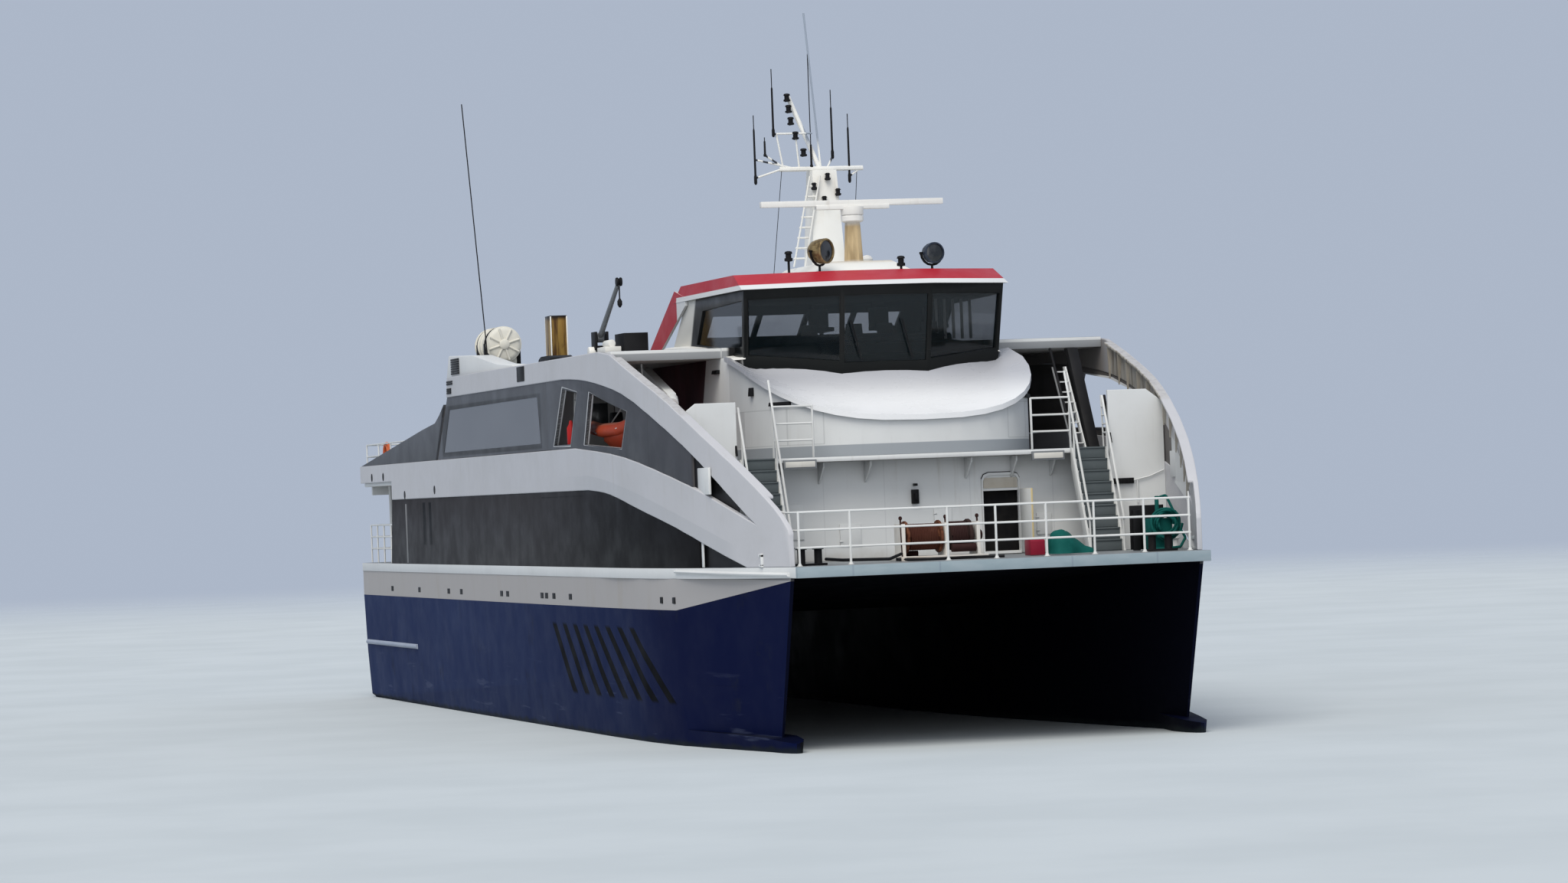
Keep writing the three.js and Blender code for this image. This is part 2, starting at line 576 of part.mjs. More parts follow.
// Mast on the wheelhouse roof, and the radar that turns on a pedestal ahead of it
const mast = { x: 9.0, foot: 11.0, yard: 13.5, yardHalf: 1.05, halfLow: 0.42, halfHigh: 0.3 }
const radar = { x: 11.65, z: 12.2, half: 2.25 }
const plan = ([aft, fore], half, z) => [[aft, -half, z], [fore, -half, z], [fore, half, z], [aft, half, z]]
const trunk = (half, z) => plan([mast.x - half, mast.x + half], half, z)
const mastParts = [
  loft([plan([7.9, 12.6], 1.2, houseTop + gap), plan([8.3, 12.1], 0.8, 11.08)]),
  loft([trunk(mast.halfLow, mast.foot), trunk(mast.halfHigh, mast.yard - 0.05)]),
  rod([mast.x, -mast.yardHalf, mast.yard], [mast.x, mast.yardHalf, mast.yard], 0.06),
  rod([mast.x, 0, mast.yard - 0.1], [8.7, -0.72, 15.35], 0.06, 8),
  rod([mast.x, 0, mast.yard - 0.1], [mast.x, -0.3, 17.3], 0.025),
  rod([radar.x, 0, mast.foot], [radar.x, 0, radar.z - 0.02], 0.24, 10, 0.18),
]
piece('mast', joined(mastParts), 'cream')
piece('radar_scanner', joined([
  rod([radar.x, 0, radar.z], [radar.x, 0, radar.z + 0.2], 0.28, 12),
  box([radar.x - 0.12, radar.x + 0.12], [-0.9, 0.9], [radar.z + 0.14, radar.z + 0.24]),
  box([radar.x - 0.09, radar.x + 0.09], [-radar.half, radar.half], [radar.z + 0.22, radar.z + 0.36]),
]), 'paintWhite')

function searchlight(x, y, size) {
  const lampZ = houseTop + 0.18 + size * 0.85
  return joined([
    rod([x, y, houseTop + gap], [x, y, lampZ - size * 0.6], 0.06, 8),
    rod([x - size * 0.8, y, lampZ], [x + size * 0.8, y, lampZ], size, 12),
  ])
}
piece('searchlight_starboard', searchlight(12.9, -1.19, 0.36), 'brass')
piece('searchlight_port', searchlight(12.8, 1.6, 0.25), 'black')

// Roof gear aft of the wheelhouse
const duct = { x: [0.7, 1.3], y: [4.8, 5.25], top: 10.4, wall: 0.05 }
const housingProfile = [[-8.8, roofTop + gap], [-8.4, 9.74], [-4.95, 9.63], [-1.77, 9.29], [0.18, 9.2],
  [0.18, roofTop + gap]]
for (const [name, side] of sides) {
  const hollow = (v) => [v[0] + duct.wall, v[1] - duct.wall]
  piece(`exhaust_box_${name}`, box(duct.x, sorted(side, duct.y), [roofTop + gap, duct.top])
    .subtract(box(hollow(duct.x), sorted(side, hollow(duct.y)), [roofTop + 0.1, duct.top + 1])), 'brass')
  piece(`roof_housing_${name}`, fromSide(housingProfile, sorted(side, [5.5, 6.05])), 'paintWhite')
}
const raft = { x: [-7.6, -6.0], y: -4.98, z: 9.94, radius: 0.46, legs: [-7.3, -6.3] }
piece('raft_canister', joined([
  rod([raft.x[0], raft.y, raft.z], [raft.x[1], raft.y, raft.z], raft.radius, 14),
  ...raft.legs.map((x) => box([x - 0.1, x + 0.1], [-5.35, -4.6], [roofTop + gap, 9.75])),
]), 'paintWhite')

// Boat crane: one bed on the roof carries its column and its power box, and the jib luffs
const crane = { x: 7.3, y: -5.3, pivotZ: 9.6, tip: [9.6, -5.3, 10.85] }
piece('crane_column', joined([
  box([6.9, 8.6], [-5.5, -4.3], [roofTop + gap, 9.18]),
  box([7.4, 8.4], [-4.95, -4.35], [9.16, 9.66]),
  rod([crane.x, crane.y, 9.16], [crane.x, crane.y, 9.34], 0.2, 10),
  box([crane.x - 0.22, crane.x + 0.22], [crane.y - 0.17, crane.y + 0.17], [9.3, 9.4]),
  box([crane.x - 0.22, crane.x + 0.22], [crane.y - 0.17, crane.y - 0.11], [9.38, 9.74]),
  box([crane.x - 0.22, crane.x + 0.22], [crane.y + 0.11, crane.y + 0.17], [9.38, 9.74]),
]), 'black')
piece('crane_jib', joined([
  rod([crane.x, crane.y, crane.pivotZ], crane.tip, 0.07, 8, 0.05),
  rod([crane.x, crane.y - 0.07, crane.pivotZ], [crane.x, crane.y + 0.07, crane.pivotZ], 0.12, 10),
]), 'steel')

// Rescue boat on its cradle in the starboard passage, its bow raised
// Columns: x, half width, depth below the widest line, height of the widest line
const boatY = -5.0
const boatSections = [
  [8.2, 0.5, 0.28, 7.1],
  [9.2, 0.72, 0.34, 7.05],
  [10.8, 0.74, 0.34, 7.1],
  [12.0, 0.5, 0.3, 7.32],
  [12.75, 0.12, 0.18, 7.62],
]
piece('rescue_boat', loft(boatSections.map(([x, half, deep, z]) => [
  [x, boatY - half, z + deep * 0.5],
  [x, boatY - half, z],
  [x, boatY - half * 0.5, z - deep],
  [x, boatY + half * 0.5, z - deep],
  [x, boatY + half, z],
  [x, boatY + half, z + deep * 0.5],
])).add(box([9.0, 11.0], [boatY - 0.4, boatY + 0.4], [upperDeckTop + gap, 6.85])), 'orange')

// Stairs from the foredeck to the side platforms, closed by their risers
const stair = { y: [3.5, 4.36], low: [18.1, deckTop + gap], high: [17.02, upperDeckTop], steps: 9, deep: 0.45 }
const railLift = 0.75
// Handrails: the inner one is a pole that runs on past the platform; columns: foot z, top z
const handrails = [[4.75, 8.2], [4.75, 7.6]]
function stairShape(side) {
  const going = (stair.low[0] - stair.high[0]) / stair.steps
  const rise = (stair.high[1] - stair.low[1]) / stair.steps
  const outline = [stair.low]
  for (let i = 0; i < stair.steps; i += 1) {
    outline.push([stair.low[0] - going * i, stair.low[1] + rise * (i + 1)])
    outline.push([stair.low[0] - going * (i + 1), stair.low[1] + rise * (i + 1)])
  }
  const soffitLow = stair.low[0] - stair.deep * going / rise
  const soffit = [[stair.high[0], stair.high[1] - stair.deep], [soffitLow, stair.low[1]]]
  outline.push(...soffit)
  const stringer = [[stair.low[0] + 0.1, stair.low[1]], [stair.high[0] + 0.1, stair.high[1]],
    stair.high, ...soffit]
  const parts = [fromSide(outline, sorted(side, [stair.y[0] + 0.02, stair.y[1] - 0.02]))]
  const alongRail = (z) => stair.low[0] + 0.12 - (z - railLift - stair.low[1]) * going / rise
  for (const [i, [edge, inward]] of [[stair.y[0], 1], [stair.y[1], -1]].entries()) {
    parts.push(fromSide(stringer, sorted(side, [edge, edge + inward * 0.05])))
    const at = side * (edge + inward * 0.03)
    const [low, high] = handrails[i]
    parts.push(rod([alongRail(low), at, low], [alongRail(high), at, high], 0.028))
    for (const z of [low + 0.15, 7.0]) {
      const foot = Math.max(stair.low[1], z - railLift - 0.2)
      parts.push(rod([alongRail(z), at, foot], [alongRail(z), at, z], 0.025))
    }
  }
  return joined(parts)
}
// Rails round the foredeck, and on the side platforms where they carry on from the stair's
const railHeights = [0.4, 0.78, 1.17]
const railRadius = 0.024
function rails(route, posts, base, heights) {
  const parts = []
  for (let i = 0; i + 1 < route.length; i += 1) {
    for (const h of heights) {
      parts.push(rod([...route[i], base + h], [...route[i + 1], base + h], railRadius))
    }
  }
  const postTop = base + heights[heights.length - 1] + 0.01
  for (const [x, y] of posts) {
    parts.push(rod([x, y, base + gap], [x, y, postTop], railRadius * 1.15))
  }
  return joined(parts)
}
const bowRailX = 22.36
const bowPosts = [-4.45, -3.3, -1.1, 0.0, 1.15, 2.25, 3.4, 4.45].map((y) => [bowRailX, y])
const bowRoute = [[bowRailX, -4.47], [bowRailX, 4.47]]
piece('bow_rail', rails(bowRoute, bowPosts, deckTop, railHeights), 'paintWhite')
for (const [name, side] of sides) {
  const ends = [[16.96, side * 2.6], [16.96, side * 3.53]]
  piece(`stair_${name}`, stairShape(side).add(rails(ends, ends, upperDeckTop, railHeights)), 'steel')
}

// Foredeck gear
const winch = { x: 20.6, z: 4.55, shaft: 0.08, bearing: 0.1 }
const winchPlates = [[-1.72, -1.64], [-0.73, -0.65], [0.0, 0.08]]
const winchFrame = joined([
  box([winch.x - 0.5, winch.x + 0.5], [-1.8, 0.2], [deckTop + gap, 4.13]),
  ...winchPlates.map((y) => box([winch.x - 0.32, winch.x + 0.32], y, [4.1, 4.85])),
])
piece('winch_frame', winchFrame.subtract(
  rod([winch.x, -1.68, winch.z], [winch.x, 0.04, winch.z], winch.bearing, 12)), 'paintWhite')
const winchTurned = (y, radius) => rod([winch.x, y[0], winch.z], [winch.x, y[1], winch.z], radius, 14)
// Rope drum with its two cheeks, then the second drum and its brake ring
piece('winch_drum', joined([
  winchTurned([-1.66, 0.02], winch.shaft),
  winchTurned([-1.6, -0.77], 0.24),
  winchTurned([-1.6, -1.54], 0.36),
  winchTurned([-0.83, -0.77], 0.36),
  winchTurned([-0.6, -0.12], 0.27),
  winchTurned([-0.16, -0.08], 0.36),
]), 'brass')
for (const [name, side] of sides) {
  const parts = [box([21.45, 21.75], [-0.36, 0.36], [deckTop + gap, 4.08])]
  for (const y of [-0.19, 0.19]) {
    parts.push(rod([21.6, y, 4.06], [21.6, y, 4.42], 0.09, 10))
    parts.push(rod([21.6, y, 4.38], [21.6, y, 4.44], 0.13, 10))
  }
  piece(`bollards_${name}`, joined(parts).translate([0, side * 4.02, 0]), 'black')
}
piece('hose_tank', joined([
  box([20.2, 20.8], [4.1, 4.6], [deckTop + gap, 4.75]),
  rod([20.5, 4.35, 4.7], [20.5, 4.35, 5.25], 0.05, 8),
]), 'green')

// Stern ramp, stowed upright at the after end of the deck
const ramp = { x: -22.2, halfWidth: 2.5, thick: 0.16, low: deckTop + 0.1, tall: 2.1 }
piece('stern_ramp', box([ramp.x - ramp.thick / 2, ramp.x + ramp.thick / 2],
  [-ramp.halfWidth, ramp.halfWidth], [ramp.low, ramp.low + ramp.tall]), 'deckGrey')

// Shafts, propellers and rudders under each hull
const [propX, shaftZ] = shaftAft
// Blades stand on the flats of a square boss
// Blade sections, as columns: distance from the axis, half length, half width, half thickness
const bladeCount = 4
const bladeTurn = 45
const bossRadius = 0.16
const bladeSections = [[0.05, 0.11, 0.02, 0.05], [0.4, 0.12, 0.2, 0.035], [0.58, 0.06, 0.1, 0.02]]
for (const [name, side] of sides) {
  const y = side * hullMiddle
  piece(`shaft_${name}`, joined([
    rod([shaftFore[0], y, shaftFore[1]], [propX + 0.16, y, shaftZ], 0.07, 10),
    rod([propX + 0.2, y, shaftZ], [propX + 0.6, y, shaftZ + 0.01], 0.14, 12),
    box([propX + 0.28, propX + 0.48], [y - 0.04, y + 0.04], [shaftZ, -0.702]),
  ]), 'steel')
  const parts = [rod([propX - 0.2, y, shaftZ], [propX + 0.14, y, shaftZ], bossRadius, bladeCount)]
  for (let i = 0; i < bladeCount; i += 1) {
    parts.push(loft(bladeSections.map(([reach, forward, across, thick]) => [
      [-forward, -across - thick, reach],
      [forward, across - thick, reach],
      [forward, across + thick, reach],
      [-forward, -across + thick, reach],
    ])).rotate([bladeTurn + i * 360 / bladeCount, 0, 0]).translate([propX, y, shaftZ]))
  }
  piece(`propeller_${name}`, joined(parts), 'bronze')
  const foil = [[-21.75, 0], [-21.2, 0.09], [-20.8, 0.07], [-20.6, 0], [-20.8, -0.07], [-21.2, -0.09]]
  piece(`rudder_${name}`, fromAbove(foil.map(([x, v]) => [x, y + v]), [-2.05, -0.9])
    .add(rod([-20.95, y, -0.95], [-20.95, y, -0.64], 0.06, 10)), 'steel')
}

export default ferry
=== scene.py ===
"""A fast passenger ferry with two hulls, moored, as a 1:2 model dressed in its paint and fittings.

Lengths and places are the real ship's metres: x forward from amidships, y to port and z up
from the waterline. Each finished mesh is brought to the model's size.
"""
import json
import math

import bmesh
import bpy
from mathutils import Matrix, Vector
from mathutils.bvhtree import BVHTree


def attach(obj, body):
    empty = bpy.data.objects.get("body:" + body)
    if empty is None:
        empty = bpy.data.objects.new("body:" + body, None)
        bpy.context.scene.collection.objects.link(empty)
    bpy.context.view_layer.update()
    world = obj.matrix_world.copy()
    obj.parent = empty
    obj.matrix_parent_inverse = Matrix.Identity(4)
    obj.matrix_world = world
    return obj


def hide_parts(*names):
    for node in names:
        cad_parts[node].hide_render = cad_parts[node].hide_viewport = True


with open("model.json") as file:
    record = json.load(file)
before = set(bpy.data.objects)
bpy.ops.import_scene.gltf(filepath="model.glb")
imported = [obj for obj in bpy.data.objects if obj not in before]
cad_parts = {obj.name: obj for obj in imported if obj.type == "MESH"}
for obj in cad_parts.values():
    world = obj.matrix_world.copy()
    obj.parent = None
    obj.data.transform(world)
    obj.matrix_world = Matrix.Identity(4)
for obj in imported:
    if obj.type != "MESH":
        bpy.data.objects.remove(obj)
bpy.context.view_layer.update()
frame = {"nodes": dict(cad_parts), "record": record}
scene = bpy.context.scene
model_scale = 0.5
both_sides = (("port", 1), ("starboard", -1))
node_body = {node: body for body, nodes in frame["record"]["behaviour"]["bodies"].items() for node in nodes}


def placed(name, data):
    """A new object in the scene."""
    made = bpy.data.objects.new(name, data)
    scene.collection.objects.link(made)
    return made


# Camera: held by hand on the shore, far off the starboard bow and a little above the height of
# the foredeck, so its picture leans by two degrees. Plain view transform, as a phone shows it.
camera_place = Vector((127.8, -32.3, 5.6)) * model_scale
camera_heading = math.radians(165.33)
camera_pitch = math.radians(0.6)
camera_roll = math.radians(-2.2)
forward = Vector((
    math.cos(camera_pitch) * math.cos(camera_heading),
    math.cos(camera_pitch) * math.sin(camera_heading),
    math.sin(camera_pitch),
))
level = forward.cross(Vector((0, 0, 1))).normalized()
upright = level.cross(forward)
right = level * math.cos(camera_roll) + upright * math.sin(camera_roll)
above = upright * math.cos(camera_roll) - level * math.sin(camera_roll)
camera = placed("shore_camera", bpy.data.cameras.new("shore_camera"))
camera_turn = Matrix((right, above, -forward)).transposed()
camera.matrix_world = Matrix.Translation(camera_place) @ camera_turn.to_4x4()
camera.data.lens = 116
camera.data.sensor_width = 36
camera.data.clip_end = 600
scene.camera = camera
scene.view_settings.view_transform = "Standard"


# Hulls: two slim aluminium hulls with upright outer sides, raked stems and a fairing round each
# stem at the waterline. Welded plate, painted blue outside with a row of slanting dark strokes and
# white above the belt line, rubbed and streaked by the years; the faces towards the tunnel are
# near black as painted shade.
class Value:
    """A socket of a finish's nodes; sums on it are written as Python."""

    def __init__(self, finish, socket):
        self.finish = finish
        self.socket = socket

    def __add__(self, other):
        return self.finish.maths("ADD", self, other)

    def __sub__(self, other):
        return self.finish.maths("SUBTRACT", self, other)

    def __rsub__(self, other):
        return self.finish.maths("SUBTRACT", other, self)

    def __mul__(self, other):
        return self.finish.maths("MULTIPLY", self, other)

    def __truediv__(self, other):
        return self.finish.maths("DIVIDE", self, other)

    __radd__ = __add__
    __rmul__ = __mul__

    def __abs__(self):
        return self.finish.maths("ABSOLUTE", self)

    def step(self, low, high):
        """0 below low, 1 above high and smooth between; falling where low is over high."""
        ends = {1: min(low, high), 2: max(low, high), 3: float(low > high), 4: float(low < high)}
        return self.finish.node(
            "ShaderNodeMapRange", {"interpolation_type": "SMOOTHSTEP"}, {0: self, **ends})

    def between(self, low, high, soft=0.004):
        """1 from low to high, 0 outside."""
        return self.step(low - soft, low + soft) * self.step(high + soft, high - soft)


def tint(thousandths):
    """A socket's colour."""
    return (*(part / 1000 for part in thousandths), 1)


class Finish:
    """A painted, metal or glass surface built from nodes, on the ship's own metres. Its colours
    are given in thousandths of red, green and blue."""

    def __init__(self, name, slot, colour, roughness=0.5, metallic=0.0, specular=0.1):
        self.slot = slot
        self.colour = colour
        self.material = bpy.data.materials.new(name)
        self.material.use_nodes = True
        self.tree = self.material.node_tree
        self.shader = self.tree.nodes["Principled BSDF"]
        for socket, value in (("Base Color", tint(colour)), ("Roughness", roughness),
                              ("Metallic", metallic), ("Specular IOR Level", specular)):
            self.shader.inputs[socket].default_value = value
        place = self.node("ShaderNodeTexCoord", output=3)
        self.place = self.node(
            "ShaderNodeVectorMath", {"operation": "SCALE"}, {0: place, "Scale": 1 / model_scale})
        self.x, self.y, self.z = (
            self.node("ShaderNodeSeparateXYZ", {}, {0: self.place}, output=i) for i in range(3))

    def node(self, kind, settings=(), sockets=(), output=0):
        made = self.tree.nodes.new(kind)
        for key, value in dict(settings).items():
            setattr(made, key, value)
        for key, value in dict(sockets).items():
            if isinstance(value, Value):
                self.tree.links.new(value.socket, made.inputs[key])
            else:
                made.inputs[key].default_value = value
        return Value(self, made.outputs[output])

    def maths(self, operation, *terms):
        return self.node("ShaderNodeMath", {"operation": operation}, dict(enumerate(terms)))

    def mix(self, share, first, second):
        first, second = (tone if isinstance(tone, Value) else tint(tone) for tone in (first, second))
        return self.node("ShaderNodeMix", {"data_type": "RGBA"}, {0: share, 6: first, 7: second}, output=2)

    def noise(self, size, stretch=(1, 1, 1), detail=4, roughness=0.55):
        """Cloudy noise from 0 to 1 with patches of that size in metres, stretched by axis."""
        scale = tuple(1 / (size * part) for part in stretch)
        where = self.node("ShaderNodeMapping", {}, {"Vector": self.place, "Scale": scale})
        return self.node("ShaderNodeTexNoise", {}, {
            "Vector": where, "Scale": 1, "Detail": detail, "Roughness": roughness})

    def normal(self, axis):
        facing = self.node("ShaderNodeNewGeometry", output=1)
        return self.node("ShaderNodeSeparateXYZ", {}, {0: facing}, output=axis)

    def inboard(self, low=0.2, high=-0.3):
        """1 on faces that look amidships."""
        return (self.normal(1) * self.maths("SIGN", self.y)).step(low, high)

    def joints(self, value, places, half=0.012):
        """1 on thin lines at the given places."""
        lines = [self.maths("COMPARE", value, place, half) for place in places]
        total = lines[0]
        for line in lines[1:]:
            total = self.maths("MAXIMUM", total, line)
        return total

    def wear(self, value, socket="Base Color"):
        self.tree.links.new(value.socket, self.shader.inputs[socket])
        return self

    def layer(self, share, colour):
        """Lays a colour over what is there, all of it where the share is 1."""
        self.colour = self.mix(share, self.colour, colour)
        return self.wear(self.colour)

    def bump(self, height, distance, strength=1.0):
        raised = self.node("ShaderNodeBump", {}, {
            "Height": height, "Distance": distance * model_scale, "Strength": strength})
        return self.wear(raised, "Normal")


def marine_paint(name, slot, colour, faded, grime, roughness=0.45, patches=0.5, streaks=0.3,
                 plating=0.004, specular=0.1):
    """Brushed and sprayed ship's paint: faded in patches, streaked with grime that water draws down."""
    paint = Finish(name, slot, colour, roughness, specular=specular)
    cloudy = paint.noise(2.6, (1, 1, 0.7)).step(0.42, 0.72) * patches
    fine = paint.noise(0.25, detail=6).step(0.5, 0.8) * (patches * 0.5)
    run = paint.noise(0.16, (1, 1, 14), detail=5).step(0.55, 0.82)
    where = paint.noise(3.5, (1, 1, 0.5)).step(0.42, 0.68)
    paint.layer(cloudy + fine, faded)
    paint.layer(run * where * streaks, grime)
    paint.wear(paint.noise(0.8).step(0.2, 0.8) * 0.18 + (roughness - 0.09), "Roughness")
    waves = paint.noise(0.9, detail=1) + paint.noise(0.012, detail=2) * 0.06
    return paint.bump(waves, plating, 0.6)


def finished(piece, bevel, angle, body, stands_for=()):
    """Rounds edges, applies what modifies the mesh, shades it smooth across edges gentler than the
    angle, and gives the piece its body."""
    if bevel:
        rounding = piece.modifiers.new("edges", "BEVEL")
        rounding.width = bevel * model_scale
        rounding.segments = 2
        rounding.limit_method = "ANGLE"
        rounding.angle_limit = math.radians(angle)
    bpy.context.view_layer.update()
    mesh = bpy.data.meshes.new_from_object(piece.evaluated_get(bpy.context.evaluated_depsgraph_get()))
    piece.modifiers.clear()
    piece.data = mesh
    shaded = bmesh.new()
    shaded.from_mesh(mesh)
    for face in shaded.faces:
        face.smooth = True
    for edge in shaded.edges:
        faces = edge.link_faces
        edge.smooth = len(faces) == 2 and faces[0].normal.dot(faces[1].normal) > math.cos(math.radians(angle))
    shaded.to_mesh(mesh)
    shaded.free()
    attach(piece, body)
    if stands_for:
        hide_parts(*stands_for)


def refined(node, paint, bevel=0.01, angle=32):
    """A clean copy of a frame node: doubles merged, flat faces joined and edges rounded."""
    made = bmesh.new()
    made.from_mesh(frame["nodes"][node].data)
    bmesh.ops.remove_doubles(made, verts=made.verts, dist=2e-5)
    bmesh.ops.dissolve_limit(
        made, angle_limit=math.radians(0.6), verts=made.verts, edges=made.edges)
    mesh = bpy.data.meshes.new(node + "_finished")
    made.to_mesh(mesh)
    made.free()
    mesh.materials.clear()
    mesh.materials.append(paint.material)
    finished(placed(node + "_finished", mesh), bevel, angle, node_body[node], (node,))


def node_group(name, inputs, parts, wires):
    """Geometry nodes from a table of inputs, nodes and wires, ending in one painted mesh."""
    tree = bpy.data.node_groups.new(name, "GeometryNodeTree")
    keys = {}
    for label, kind in (("Geometry", "Geometry"), *inputs, ("Paint", "Material")):
        socket = tree.interface.new_socket(label, in_out="INPUT", socket_type="NodeSocket" + kind)
        keys[label] = socket.identifier
    tree.interface.new_socket("Geometry", in_out="OUTPUT", socket_type="NodeSocketGeometry")
    nodes = {"given": tree.nodes.new("NodeGroupInput"), "result": tree.nodes.new("NodeGroupOutput")}
    for label, kind in (*parts, ("whole", "RealizeInstances"), ("painted", "SetMaterial")):
        nodes[label] = tree.nodes.new("GeometryNode" + kind)
    for source, output, target, socket in (
            *wires, ("whole", "Geometry", "painted", "Geometry"), ("given", "Paint", "painted", "Material"),
            ("painted", "Geometry", "result", "Geometry")):
        tree.links.new(nodes[source].outputs[output], nodes[target].inputs[socket])
    return tree, nodes, keys


def by_nodes(name, mesh, group, paint, values):
    """An object whose mesh runs through a node group with the given values."""
    tree, nodes, keys = group
    piece = placed(name, mesh)
    run = piece.modifiers.new(name, "NODES")
    run.node_group = tree
    for label, value in {**values, "Paint": paint.material}.items():
        run[keys[label]] = value
    return piece


pipe_group = node_group(
    "pipe_run",
    (("Radius", "Float"), ("Bend", "Float")),
    (("curve", "MeshToCurve"), ("corner", "FilletCurve"), ("circle", "CurvePrimitiveCircle"),
     ("sweep", "CurveToMesh")),
    (("given", "Geometry", "curve", "Mesh"), ("curve", "Curve", "corner", "Curve"),
     ("given", "Bend", "corner", "Radius"), ("corner", "Curve", "sweep", "Curve"),
     ("given", "Radius", "circle", "Radius"), ("circle", "Curve", "sweep", "Profile Curve"),
     ("sweep", "Mesh", "whole", "Geometry")))
pipe_group[1]["corner"].mode = "POLY"
pipe_group[1]["corner"].inputs["Count"].default_value = 4
pipe_group[1]["circle"].inputs["Resolution"].default_value = 8
pipe_group[1]["sweep"].inputs["Fill Caps"].default_value = True
row_group = node_group(
    "row_of_parts",
    (("Count", "Int"), ("Step", "Vector")),
    (("places", "MeshLine"), ("copies", "InstanceOnPoints")),
    (("given", "Count", "places", "Count"), ("given", "Step", "places", "Offset"),
     ("places", "Mesh", "copies", "Points"), ("given", "Geometry", "copies", "Instance"),
     ("copies", "Instances", "whole", "Geometry")))


def piped(name, runs, radius, paint, bend=0.0, body="ship"):
    """Round pipes with bent corners along runs of points, made by the pipe nodes."""
    points, edges = [], []
    for run in runs:
        start = len(points)
        points += [tuple(value * model_scale for value in point) for point in run]
        edges += [(start + i, start + i + 1) for i in range(len(run) - 1)]
    mesh = bpy.data.meshes.new(name)
    mesh.from_pydata(points, edges, [])
    values = {"Radius": radius * model_scale, "Bend": bend * model_scale}
    finished(by_nodes(name, mesh, pipe_group, paint, values), 0.0, 50, body)


def spin(share, radius):
    """A point on a circle, by its share of a full turn."""
    angle = 2 * math.pi * share
    return radius * math.cos(angle), radius * math.sin(angle)


class Shape:
    """Solid parts gathered in the ship's metres and then made one piece."""

    def __init__(self):
        self.mesh = bmesh.new()

    def skin(self, rings):
        """A closed body through rings of equal count."""
        rows = [[self.mesh.verts.new(point) for point in ring] for ring in rings]
        count = len(rows[0])
        for first, second in zip(rows, rows[1:]):
            for i in range(count):
                j = (i + 1) % count
                self.mesh.faces.new((first[i], first[j], second[j], second[i]))
        self.mesh.faces.new(rows[0][::-1])
        self.mesh.faces.new(rows[-1])
        return self

    def prism(self, outline, axis, start, end):
        """An outline in the two other axes, pushed along one axis."""
        order = {"x": (2, 0, 1), "y": (0, 2, 1), "z": (0, 1, 2)}[axis]
        return self.skin([[tuple((u, v, w)[i] for i in order) for u, v in outline] for w in (start, end)])

    def block(self, low, high):
        outline = [(low[0], low[1]), (high[0], low[1]), (high[0], high[1]), (low[0], high[1])]
        return self.prism(outline, "z", low[2], high[2])

    def turned(self, foot, head, profile, sides=16):
        """A turned body from foot to head; each row of the profile is a share along and a radius."""
        foot, head = Vector(foot), Vector(head)
        turn = (head - foot).to_track_quat("Z", "Y")
        return self.skin([
            [foot.lerp(head, share) + turn @ Vector((*spin(i / sides, radius), 0)) for i in range(sides)]
            for share, radius in profile])

    def tube(self, foot, head, radius, sides=10):
        return self.turned(foot, head, ((0, radius), (1, radius)), sides)

    def beam(self, points, half):
        """A beam of box section; half its width along each axis, with none along the third."""
        wide = [axis for axis in range(3) if half[axis]]
        rings = []
        for point in points:
            ring = [list(point) for i in range(4)]
            for corner, ways in zip(ring, ((-1, -1), (1, -1), (1, 1), (-1, 1))):
                for axis, way in zip(wide, ways):
                    corner[axis] += way * half[axis]
            rings.append(ring)
        return self.skin(rings)

    def scaled(self, name):
        """The gathered parts as a mesh of the model's size."""
        bmesh.ops.recalc_face_normals(self.mesh, faces=self.mesh.faces)
        bmesh.ops.scale(self.mesh, vec=(model_scale,) * 3, verts=self.mesh.verts)
        mesh = bpy.data.meshes.new(name)
        self.mesh.to_mesh(mesh)
        self.mesh.free()
        return mesh

    def made(self, name, paint, bevel=0.0, angle=35, slot=None, body="ship", stands_for=()):
        mesh = self.scaled(name)
        mesh.materials.append(paint.material)
        finished(placed(name, mesh), bevel, angle, body, stands_for)

    def repeated(self, name, count, step, paint, body="ship"):
        """The parts in a row of copies, one step apart, made by the row nodes."""
        values = {"Count": count, "Step": Vector(step) * model_scale}
        finished(by_nodes(name, self.scaled(name), row_group, paint, values), 0.004, 35, body)


def skin_of(node):
    """The frame node's surface, to set fittings on."""
    mesh = frame["nodes"][node].data
    return BVHTree.FromPolygons([v.co for v in mesh.vertices], [p.vertices for p in mesh.polygons])


def meets(surface, start, direction):
    """Where a line from a point outside meets the surface, in the ship's metres."""
    return surface.ray_cast(Vector(start) * model_scale, Vector(direction))[0] / model_scale


sheer_z = 3.95
deck_skin = skin_of("main_deck")


def beside(x, side, z=sheer_z, surface=deck_skin):
    """How far out to port a side of the surface stands; the main deck's edge unless told."""
    return meets(surface, (x, side * 9, z), (0, -side, 0)).y


superstructure_white = (655, 665, 660)
white_faded = (580, 585, 580)
white_grime = (330, 290, 230)
tunnel_shade = (2.5, 3, 7)
belt_start = 16.8
belt_low = 3.08
belt_high = 3.73
stem_top = 22.5
stroke_top = 2.6
stroke_tall = 1.65
stroke_first = 4.8
stroke_lean = 1.85
stroke_step = 1.19
stroke_spread = 0.15
stroke_count = 8

